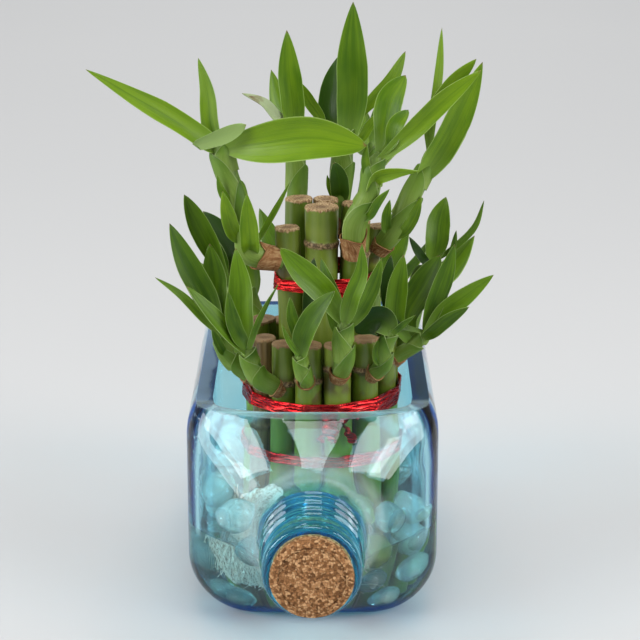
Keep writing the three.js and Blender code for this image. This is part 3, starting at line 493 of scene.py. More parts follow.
def glassGlow(finish, body, place, onNeck):  # light piped through the turns of the glass, and how much
    side, back, height = finish.parts(place)
    around = abs(side).maths("MAXIMUM", abs(side), abs(height - body["axisZ"]))
    outside = around.between(0.0435, 0.0445)  # not on the inner skin
    line = (1 - (abs(back - body["lineY"]) * 1000).between(1.5, 5.0)) * outside
    low = (1 - height.between(0.0035, 0.009)) * (1 - back.between(-0.072, -0.06))
    stripe = (1 - (abs(back - body["stripeY"]) * 1000).between(0.6, 2.2)) * height.between(0.034, 0.037)
    swirl = finish.streaks(place, 90, 320, 90)
    flare = (1 - (abs(back - body["hazeY"]) * 1000).between(3.5, 7.5)) * (swirl * 0.42 - 0.02)
    fromAxis = (side ** 2 + (height - body["axisZ"]) ** 2) ** 0.5
    groove = back.maths("PINGPONG", back - body["beadY"][0], body["beadStep"] / 2).between(0.0014, 0.0026)
    ringed = finish.mix(groove, body["neckGlow"], body["neckDark"])
    glow = finish.mix(onNeck, finish.mix(flare.between(0, 0.02), body["line"], body["haze"]), ringed)
    share = line * 0.7 + low * 0.66 + stripe * 0.24 + flare
    share = share + onNeck * fromAxis.between(0.0158, 0.0164) * (groove * 0.3 + 0.05)
    return finish.mix(stripe, glow, body["stripe"]), share


def glassCut(finish, body, place):  # the satin ground edge: its colour, painted lighter along the front as a painted highlight, darker on the right side as painted shade, with a painted dark line along its inner edge, and how much of it shows
    side, back, height = finish.parts(place)
    onCut = height.between(body["rimZ"] - 0.0005, body["rimZ"] - 0.0001)
    finish.rough(onCut * body["cutRoughness"])
    wander = finish.grain(place, 38, 2) - 0.5
    onSides = (back - body["cutFrontY"]).between(0, 0.006)
    innerEdge = 1 - (abs(side) + wander * 0.006 - 0.0385).between(0, 0.0022)
    streak = finish.streaks(place, 420, 14, 1)
    band = finish.mix((side * 12 + streak).between(0.3, 0.9), body["satin"], body["shaded"])
    color = finish.mix(onSides, body["frontSatinHighlight"], finish.mix(innerEdge, band, body["edge"]))
    return color, onCut * (onSides * 0.44 + 0.18)


def glassFinish(body):  # one material, because a ray has to leave the same volume that it entered
    finish = Finish("aquaGlass", {"IOR": 1.5, "Transmission Weight": 1.0})
    absorb = finish.node("ShaderNodeVolumeAbsorption", None,
                         {"Color": body["tint"], "Density": body["density"]})
    finish.feed(finish.tree.nodes["Material Output"].inputs["Volume"], absorb)
    place = finish.place()
    onNeck = glassWalls(finish, body, place)
    surface = Wire(finish, finish.shader.outputs[0])
    for color, share in (glassGlow(finish, body, place, onNeck), glassCut(finish, body, place)):
        matt = finish.node("ShaderNodeBsdfDiffuse", None, {"Color": color})
        surface = finish.mixShaders(share, surface, matt)
    finish.clearInShadow(body["shadow"], surface)
    return finish.material


def waterFinish():
    finish = Finish("stillWater", {"Base Color": (0.9, 0.96, 0.965, 1), "Roughness": 0.0, "IOR": 1.333,
                                   "Transmission Weight": 1.0})
    finish.clearInShadow((0.95, 0.99, 0.995, 1))
    return finish.material


pebbleTones = (  # from dark teal by clear to white, and one yellow
    (0.0, (0.015, 0.06, 0.065)), (0.16, (0.06, 0.16, 0.16)), (0.4, (0.25, 0.42, 0.4)),
    (0.75, (0.7, 0.8, 0.76)), (0.96, (0.92, 0.95, 0.92)), (0.985, (0.36, 0.38, 0.04)),
)


def pebbleFinish():
    finish = Finish("pebbleGlass", {"Coat Weight": 0.7, "Coat Roughness": 0.03, "Roughness": 0.05,
                                    "Specular IOR Level": 0.7, "IOR": 1.3, "Transmission Weight": 0.72})
    place = finish.place()
    tint = finish.attribute("tint")
    cloud = finish.grain(place, 120, 3)
    stone = finish.ramp(tint, *pebbleTones)
    finish.color(finish.mix(cloud.between(0.35, 0.75) * 0.2, stone, (0.84, 0.88, 0.84)))
    finish.bump(cloud, 0.0004, 0.3)
    return finish.material


rootTones = ((0.36, (0.2, 0.11, 0.07)), (0.46, (0.74, 0.52, 0.41)), (0.68, (0.93, 0.8, 0.7)))


def rootFinish():
    finish = Finish("creamRoot", {"Roughness": 0.6, "Specular IOR Level": 0.3})
    place = finish.place()
    fibres = finish.grain(finish.scaled(place, 1, 1, 0.35), 1500, 2, 0.7)
    finish.color(finish.ramp(fibres, *rootTones))
    finish.bump(fibres, 0.0001, 0.6)
    return finish.material


corkTones = (
    (0.12, (0.085, 0.034, 0.013)), (0.32, (0.235, 0.105, 0.038)),
    (0.6, (0.42, 0.2, 0.08)), (0.9, (0.66, 0.39, 0.19)),
)
corkGap = (0.05, 0.022, 0.01)


def corkFinish():
    finish = Finish("pressedCork", {"Roughness": 0.88, "Specular IOR Level": 0.2})
    place = finish.place()
    warp = finish.grain(place, 600, 2)
    crumb = finish.parts(finish.cells(place, 1150, out="Color"))[0]
    gaps = finish.cells(place, 1150, "DISTANCE_TO_EDGE")
    fine = finish.grain(place, 2200, 2)
    color = finish.ramp(crumb * 0.75 + fine * 0.35, *corkTones)
    finish.color(finish.mix((1 - gaps.between(0.0, 0.07)) * (0.35 + warp * 0.5), color, corkGap))
    finish.bump(gaps.between(0.0, 0.12) * 0.6 + crumb * 0.5 + fine * 0.3, 0.0005, 0.8)
    return finish.material


# Bottle

bottle = {
    "half": 0.0478, "axisZ": 0.0478, "corner": 0.024, "wall": 0.005, "rimZ": 0.0845,
    "backY": 0.076, "backRound": 0.012, "backHalf": 0.0388, "neckRadius": 0.0188, "boreRadius": 0.0144,
    "boreY": (-0.128, -0.116, -0.106), "insideEndY": -0.1, "cutRound": 0.0007,
    "sides": 112, "roundness": 0.985, "backSteps": 6, "shoulderSteps": 26, "neckSteps": 41,
    "neckStartY": -0.1085, "neckEndY": -0.1268, "threadRadius": 0.0168,
    "beadHigh": 0.0019, "beadWide": 0.00135, "beadY": (-0.1113, -0.1175, -0.1237), "beadStep": 0.0062,
    "shoulder": (  # places along the axis and half the bottle's side there, in millimetres
        (-109, 18.2), (-105, 19.4), (-98, 22.6), (-89, 29.2),
        (-80, 37.2), (-73, 43.6), (-66, 47), (-56, 47.8),
    ),
    "lip": (  # the same round the lip, with its radius
        (-128.6, 16.8), (-129.6, 16.95), (-130.4, 17.4), (-131.8, 17.5), (-136, 17.5), (-137.2, 17.1),
        (-137.8, 16.6), (-138, 16), (-138, 15), (-137.8, 14.6), (-137.2, 14.4),
    ),
    "tint": (0.06, 0.67, 0.85, 1), "density": 85.0, "shadow": (0.87, 0.95, 0.945, 1),
    # deep is painted shade along the bottom of the glass
    "clear": (0.89, 0.985, 0.965), "deep": (0.14, 0.44, 0.48), "neck": (0.38, 0.95, 0.93),
    # the second walls colour paints streaks of light bent by the wavy glass
    "walls": (0.64, 0.9, 0.9), "wallLightStreaks": (0.42, 0.76, 0.84),
    "damp": (0.3, 0.6, 0.64), "dampX": -0.0428, "dampZ": (0.042, 0.055),
    "lineY": -0.0615, "line": (0.002, 0.065, 0.29), "stripeY": -0.0735, "stripe": (0.42, 0.72, 0.76),
    "hazeY": -0.0975, "haze": (0.6, 0.7, 0.68),
    "neckGlow": (0.05, 0.52, 0.66), "neckDark": (0.002, 0.15, 0.34),
    # the cut's front colour is a painted highlight, shaded is painted shade on its right side, and edge is a
    # painted dark line along its inner edge
    "cutRoughness": 0.2, "cutFrontY": -0.064, "satin": (0.2, 0.3, 0.42), "shaded": (0.03, 0.07, 0.11),
    "frontSatinHighlight": (0.5, 0.68, 0.7), "edge": (0.02, 0.06, 0.16),
}
shoulder = [Vector(p) * mm for p in bottle["shoulder"]]


def cornerAt(half, inset):
    full = bottle["half"] - inset - bottle["neckRadius"]
    squareness = min(max((half - bottle["neckRadius"]) / full, 0), 1)
    roundest = bottle["roundness"] * half
    return min(roundest, lerp(roundest, bottle["corner"] - inset, squareness))


def squareReach(angle, half, radius):  # from the axis to a rounded square
    u, v = abs(math.cos(angle)), abs(math.sin(angle))
    u, v = max(u, v), min(u, v)
    flat = half - radius
    if half * v / u <= flat:
        return half / u
    across = flat * (u + v)
    return across + math.sqrt(max(0, across * across - 2 * flat * flat + radius * radius))


def bottleRing(y, half, radius, sides):
    ring = []
    for angle in turns(sides, 0.5):
        reach = squareReach(angle, half, radius)
        ring.append(Vector((reach * math.cos(angle), y, bottle["axisZ"] + reach * math.sin(angle))))
    return ring


def bodyRing(y, half, inset, sides):
    return bottleRing(y, half, cornerAt(half, inset), sides)


def neckRing(y, radius):
    return bottleRing(y, radius, bottle["roundness"] * radius, bottle["sides"])


def bodyStations(inset):  # places along the bottle and half its side, from the back to the neck
    outer = []
    for step in range(bottle["backSteps"] + 1):
        turn = step / bottle["backSteps"] * math.pi / 2
        outer.append(Vector((
            bottle["backY"] - bottle["backRound"] * (1 - math.cos(turn)),
            bottle["backHalf"] + (bottle["half"] - bottle["backHalf"]) * math.sin(turn),
        )))
    straight = outer[-1].x
    for share in (0.25, 0.5, 0.75):
        outer.append(Vector((lerp(straight, shoulder[-1].x, share), bottle["half"])))
    steps = bottle["shoulderSteps"]
    outer += [splinePoint(shoulder, 1 - step / steps) for step in range(steps)]
    placed = []
    for i, point in enumerate(outer):
        before, after = outer[max(0, i - 1)], outer[min(len(outer) - 1, i + 1)]
        along = (before - after).normalized()
        placed.append(Vector((point.x + along.y * inset, point.y - along.x * inset)) if inset else point)
    if inset:
        placed[0].x = bottle["backY"] - inset
    return placed


def neckStations():
    stations = []
    for step in range(1, bottle["neckSteps"] + 1):
        y = lerp(bottle["neckStartY"], bottle["neckEndY"], step / bottle["neckSteps"])
        bead = max(math.exp(-((y - beadY) / bottle["beadWide"]) ** 2) for beadY in bottle["beadY"])
        stations.append(Vector((y, bottle["threadRadius"] + bottle["beadHigh"] * bead)))
    return stations + [Vector(p) * mm for p in bottle["lip"]]


def bottleSkin(inset):
    stations = bodyStations(inset)
    first = stations[0]
    rings = [bodyRing(first.x, first.y * share, inset, bottle["sides"]) for share in (0.3, 0.6, 0.85)]
    for station in stations:
        half = max(station.y, bottle["boreRadius"]) if inset else station.y
        rings.append(bodyRing(station.x, half, inset, bottle["sides"]))
    return rings


def blowBottle():
    outside = bottleSkin(0) + [neckRing(s.x, s.y) for s in neckStations()]
    inside = [ring for ring in bottleSkin(bottle["wall"]) if ring[0].y > bottle["insideEndY"]]
    bore = [neckRing(y, bottle["boreRadius"]) for y in bottle["boreY"]]
    glass = skinRings("glassBottle", outside + bore + inside[::-1])
    edit(glass)
    bpy.ops.mesh.select_all(action="SELECT")
    bpy.ops.mesh.bisect(plane_co=(0, 0, bottle["rimZ"]), plane_no=(0, 0, 1), clear_outer=True)
    bpy.ops.mesh.bridge_edge_loops()
    turnOutward()
    applyModifier(glass, "BEVEL", width=bottle["cutRound"], segments=3, limit_method="ANGLE",
                  angle_limit=math.radians(50))
    glass.data.materials.append(glassFinish(bottle))
    smooth(glass, 45)
    finishPiece(glass, "glass", "bottle")


blowBottle()
print("bottle blown")


# Cork

cork = {
    "radius": 0.0141, "innerRadius": 0.0134, "outerY": -0.1425, "innerY": -0.12, "chamfer": 0.0007,
    "sides": 72, "faceRings": (0.0016, 0.002, 0.0024, 0.003), "pit": 0.00012,
}


def pressCork():
    depth = cork["innerY"] - cork["outerY"]
    bpy.ops.object.select_all(action="DESELECT")
    bpy.ops.mesh.primitive_cylinder_add(
        vertices=cork["sides"], radius=cork["radius"], depth=depth, end_fill_type="NGON",
        rotation=(math.pi / 2, 0, 0), location=(0, (cork["innerY"] + cork["outerY"]) / 2, bottle["axisZ"]),
    )
    plug = bpy.context.view_layer.objects.active
    bpy.ops.object.transform_apply(location=True, rotation=True, scale=True)
    plug.name = plug.data.name = "corkStopper"
    edit(plug)
    selectWhere(plug, lambda co: co.y > cork["innerY"] - 0.0001)
    shrink = cork["innerRadius"] / cork["radius"]
    innerEnd = (0, cork["innerY"], bottle["axisZ"])
    bpy.ops.transform.resize(value=(shrink, 1, shrink), center_override=innerEnd)
    leaveEdit()
    applyModifier(plug, "BEVEL", width=cork["chamfer"], segments=3, limit_method="ANGLE")
    edit(plug)
    selectWhere(plug, lambda co: co.y < cork["outerY"] + 0.0001)
    bpy.ops.mesh.select_mode(type="FACE")
    for thickness in cork["faceRings"]:
        bpy.ops.mesh.inset(thickness=thickness)
    leaveEdit()
    for vertex in plug.data.vertices:  # crumbs of cork leave the surface uneven
        pit = noise.noise(vertex.co * 900) * 0.5 + noise.noise(vertex.co * 2200) * 0.3
        vertex.co.y += cork["pit"] * pit
    plug.data.materials.append(corkFinish())
    smooth(plug, 50)
    finishPiece(plug, "cork", "cork")


pressCork()
print("cork pressed")


# Water and pebbles

water = {
    "level": 0.0364, "climb": 0.0009, "edge": 0.0011, "soak": 0.00012, "endY": -0.0965,
    "leastHalf": 0.0145, "sides": 96,
}


def pourWater():
    stations = [s for s in bodyStations(bottle["wall"] - water["soak"]) if s.x > water["endY"]]
    sizes = [(stations[0].x, stations[0].y * share) for share in (0.4, 0.8)]
    sizes += [(s.x, max(s.y, water["leastHalf"])) for s in stations]
    pool = skinRings("stillWater", [bodyRing(y, half, bottle["wall"], water["sides"]) for y, half in sizes])
    edit(pool)
    bpy.ops.mesh.select_all(action="SELECT")
    bpy.ops.mesh.bisect(
        plane_co=(0, 0, water["level"]), plane_no=(0, 0, 1), clear_outer=True, use_fill=True,
    )
    bpy.ops.mesh.select_mode(type="FACE")
    bpy.ops.mesh.inset(thickness=water["edge"])  # the water climbs the glass a little
    bpy.ops.transform.translate(value=(0, 0, -water["climb"]))
    turnOutward()
    pool.data.materials.append(waterFinish())
    smooth(pool, 45)
    finishPiece(pool, "water", "water")


pourWater()

bundle = {"x": 0.0036, "y": -0.036, "hole": 0.0312, "rootsLeft": -64, "rootsRight": 10, "rootsOut": 0.049}
pebbles = {
    "spacing": 0.0138, "long": 0.0082, "wide": 0.0068, "thick": 0.0057, "seed": 7,
    "layers": 4, "lowZ": 0.0112, "layerStep": 0.011, "rows": 12, "startY": -0.0805, "rowStep": 0.0131,
    "shift": 0.004, "frontY": -0.04, "bottomZ": 0.0175, "yellow": 0.985,
}


def innerHalf(y):
    stations = bodyStations(bottle["wall"])
    for a, b in zip(stations, stations[1:]):
        if b.x <= y <= a.x:
            return lerp(b.y, a.y, (y - b.x) / max(a.x - b.x, 1e-6))
    return 0.0


def reachAt(half, z):  # how far a rounded square reaches sideways at one height
    radius = cornerAt(half, bottle["wall"])
    over = abs(z - bottle["axisZ"]) - (half - radius)
    if over <= 0:
        return half
    return half - radius + math.sqrt(max(0, radius * radius - over * over)) if over < radius else 0


def pebblePlaces(draw):
    places = []
    for layer in range(pebbles["layers"]):
        z = pebbles["lowZ"] + layer * pebbles["layerStep"]
        for row in range(pebbles["rows"]):
            y = pebbles["startY"] + row * pebbles["rowStep"] + (layer % 2) * pebbles["shift"]
            reach = reachAt(innerHalf(y), z) - pebbles["wide"] - 0.0004
            count = max(2, round(2 * reach / pebbles["spacing"]) + 1)
            behind = layer == pebbles["layers"] - 1 and y > pebbles["frontY"]  # the heap is higher in front
            if y > bottle["backY"] - 0.013 or reach < 0.02 or behind:
                continue
            for k in range(count):
                edge = k in (0, count - 1)
                x = lerp(-reach, reach, k / (count - 1)) + (0 if edge else draw.uniform(-0.002, 0.002))
                spot = Vector((x, y + draw.uniform(-0.0018, 0.0018), z + draw.uniform(-0.001, 0.0016)))
                away = math.hypot(spot.x - bundle["x"], spot.y - bundle["y"])
                turn = math.degrees(math.atan2(spot.x - bundle["x"], bundle["y"] - spot.y))
                rooted = bundle["rootsLeft"] < turn < bundle["rootsRight"] and away < bundle["rootsOut"]
                rooted = rooted and spot.z > pebbles["bottomZ"]
                if away > bundle["hole"] + pebbles["wide"] and not rooted:
                    places.append(spot)
    return places


def pebbleTintAndPaintedLight(spot, draw):  # the pebbles' own mixed colours, placed whiter to the left as painted light from that side, darker at the bottom as painted shade, and a few yellow in front on the right
    if spot.z < pebbles["bottomZ"]:
        return draw.uniform(0.0, 0.85)
    if spot.x > bundle["x"]:
        return pebbles["yellow"] if spot.y < -0.055 and draw.random() < 0.12 else draw.uniform(0.3, 0.95)
    return draw.uniform(0.45, 0.97)


def pourPebbles():
    draw = random.Random(pebbles["seed"])
    bpy.ops.object.select_all(action="DESELECT")
    bpy.ops.mesh.primitive_ico_sphere_add(subdivisions=3, radius=1)
    stone = bpy.context.view_layer.objects.active
    edit(stone)
    selectWhere(stone, lambda co: co.y > 0.3)
    bpy.ops.transform.resize(value=(0.9, 1.06, 0.88), center_override=(0, 0.3, 0))
    leaveEdit()
    stones = []
    for spot in pebblePlaces(draw):
        copy = copyOf(stone)
        size = draw.uniform(0.82, 1.06)
        turn = draw.uniform(-0.5, 0.5) + (math.pi / 2 if draw.random() < 0.3 else 0)
        shape = Vector((pebbles["wide"], pebbles["long"], pebbles["thick"])) * size
        offset = Vector((draw.random(), draw.random(), draw.random())) * 50
        spin = Matrix.Rotation(turn, 3, "Z") @ Matrix.Rotation(draw.uniform(-0.25, 0.25), 3, "Y")
        for vertex in copy.data.vertices:
            dents = 0.05 * noise.noise(vertex.co * 2.6 + offset)
            lump = 1 + 0.2 * noise.noise(vertex.co * 0.9 + offset) + dents
            vertex.co = spin @ (vertex.co * shape * lump) + spot
        tint = pebbleTintAndPaintedLight(spot, draw)
        setAttribute(copy, "tint", [tint] * len(copy.data.vertices))
        stones.append(copy)
    bpy.data.objects.remove(stone)
    heap = joinAll(stones, "pebbleHeap")
    heap.data.materials.append(pebbleFinish())
    smooth(heap, 80)
    finishPiece(heap, "pebble_glass", "pebbles")
    return len(stones)


print("pebbles poured:", pourPebbles())


# Canes, in millimetres: "rise" is how far a cut lies above its tier's usual height.
# The short ones stand round the bundle, by their angle from the neck's side, and the tall ones inside.

tiers = {"lower": 107, "upper": 155}
caneShape = {
    "ringRadius": 25, "bendZ": 108, "footZ": 5.35, "highestFoot": 40, "glassGap": 1.8,
    "sides": 28, "rowStep": 11, "clear": 8, "torn": 0.9, "ragged": 1.6, "seed": 3,
}

lowerCanes = [
    {"angle": -90, "radius": 4.6, "rise": 2, "joints": [71]},
    {"angle": -62, "radius": 4.5, "rise": -1, "joints": [70], "tint": 2},
    {"angle": -35.5, "radius": 4.5, "rise": -0.5, "joints": [91]},
    {"angle": -11.8, "radius": 5, "rise": 0, "joints": [93]},
    {"angle": 13, "radius": 5.1, "rise": 0, "joints": [97.5]},
    {"angle": 40.4, "radius": 5, "rise": 1, "joints": [96]},
    {"angle": 70.7, "radius": 4.7, "rise": -3, "joints": [96]},
    {"angle": 95.6, "radius": 4.6, "rise": -1, "joints": [92]},
    {"angle": 120.5, "radius": 5, "rise": 1, "joints": [70]},
    {"angle": 145.4, "radius": 4.8, "rise": -2, "joints": [93]},
    {"angle": 170.3, "radius": 5, "rise": 0, "joints": [71]},
    {"angle": 195.2, "radius": 4.9, "rise": 1, "joints": [94]},
    {"angle": 220.2, "radius": 4.7, "rise": -3, "joints": [92]},
    {"angle": 245.1, "radius": 4.8, "rise": 0, "joints": [69]},
]

upperCanes = [
    {"foot": [3.4, -48], "top": [3.4, -48], "radius": 6.2, "rise": 2, "joints": [143]},
    {"foot": [-6, -30], "top": [-5.2, -30], "radius": 5.3, "rise": 1, "joints": [118]},
    {"foot": [-8, -42], "top": [-9.4, -48], "radius": 4.8, "rise": -6, "joints": [136.5]},
    {"foot": [4.5, -26.8], "top": [5, -27], "radius": 4.8, "rise": 0, "joints": [117]},
    {"foot": [14.6, -26.1], "top": [15.8, -25], "radius": 4.7, "rise": -2, "joints": [136]},
    {"foot": [14.9, -45.1], "top": [16.6, -49], "radius": 5.1, "rise": -3, "joints": [139]},
    {"foot": [18, -36], "top": [24, -41], "radius": 3.7, "rise": -7, "joints": [139]},
    {"foot": [3.7, -36.6], "top": [4, -37], "radius": 4, "rise": -2, "joints": []},
]

for tier, canes in (("lower", lowerCanes), ("upper", upperCanes)):
    for number, cane in enumerate(canes, 1):
        cane["name"] = f"{tier}_cane_{number:02d}"
        cane["topZ"] = tiers[tier] + cane["rise"]


def blade(wide, full, roll, *path, **more):  # width, where along it that is reached, turn, middle line
    return {"wide": wide, "full": full, "roll": roll, "path": path, **more}


# Shoots, by the cane that each grows from: its stem, its thickness along the stem, and its leaves,
# each with its middle line from base to tip. At roll 0 a leaf faces the neck.

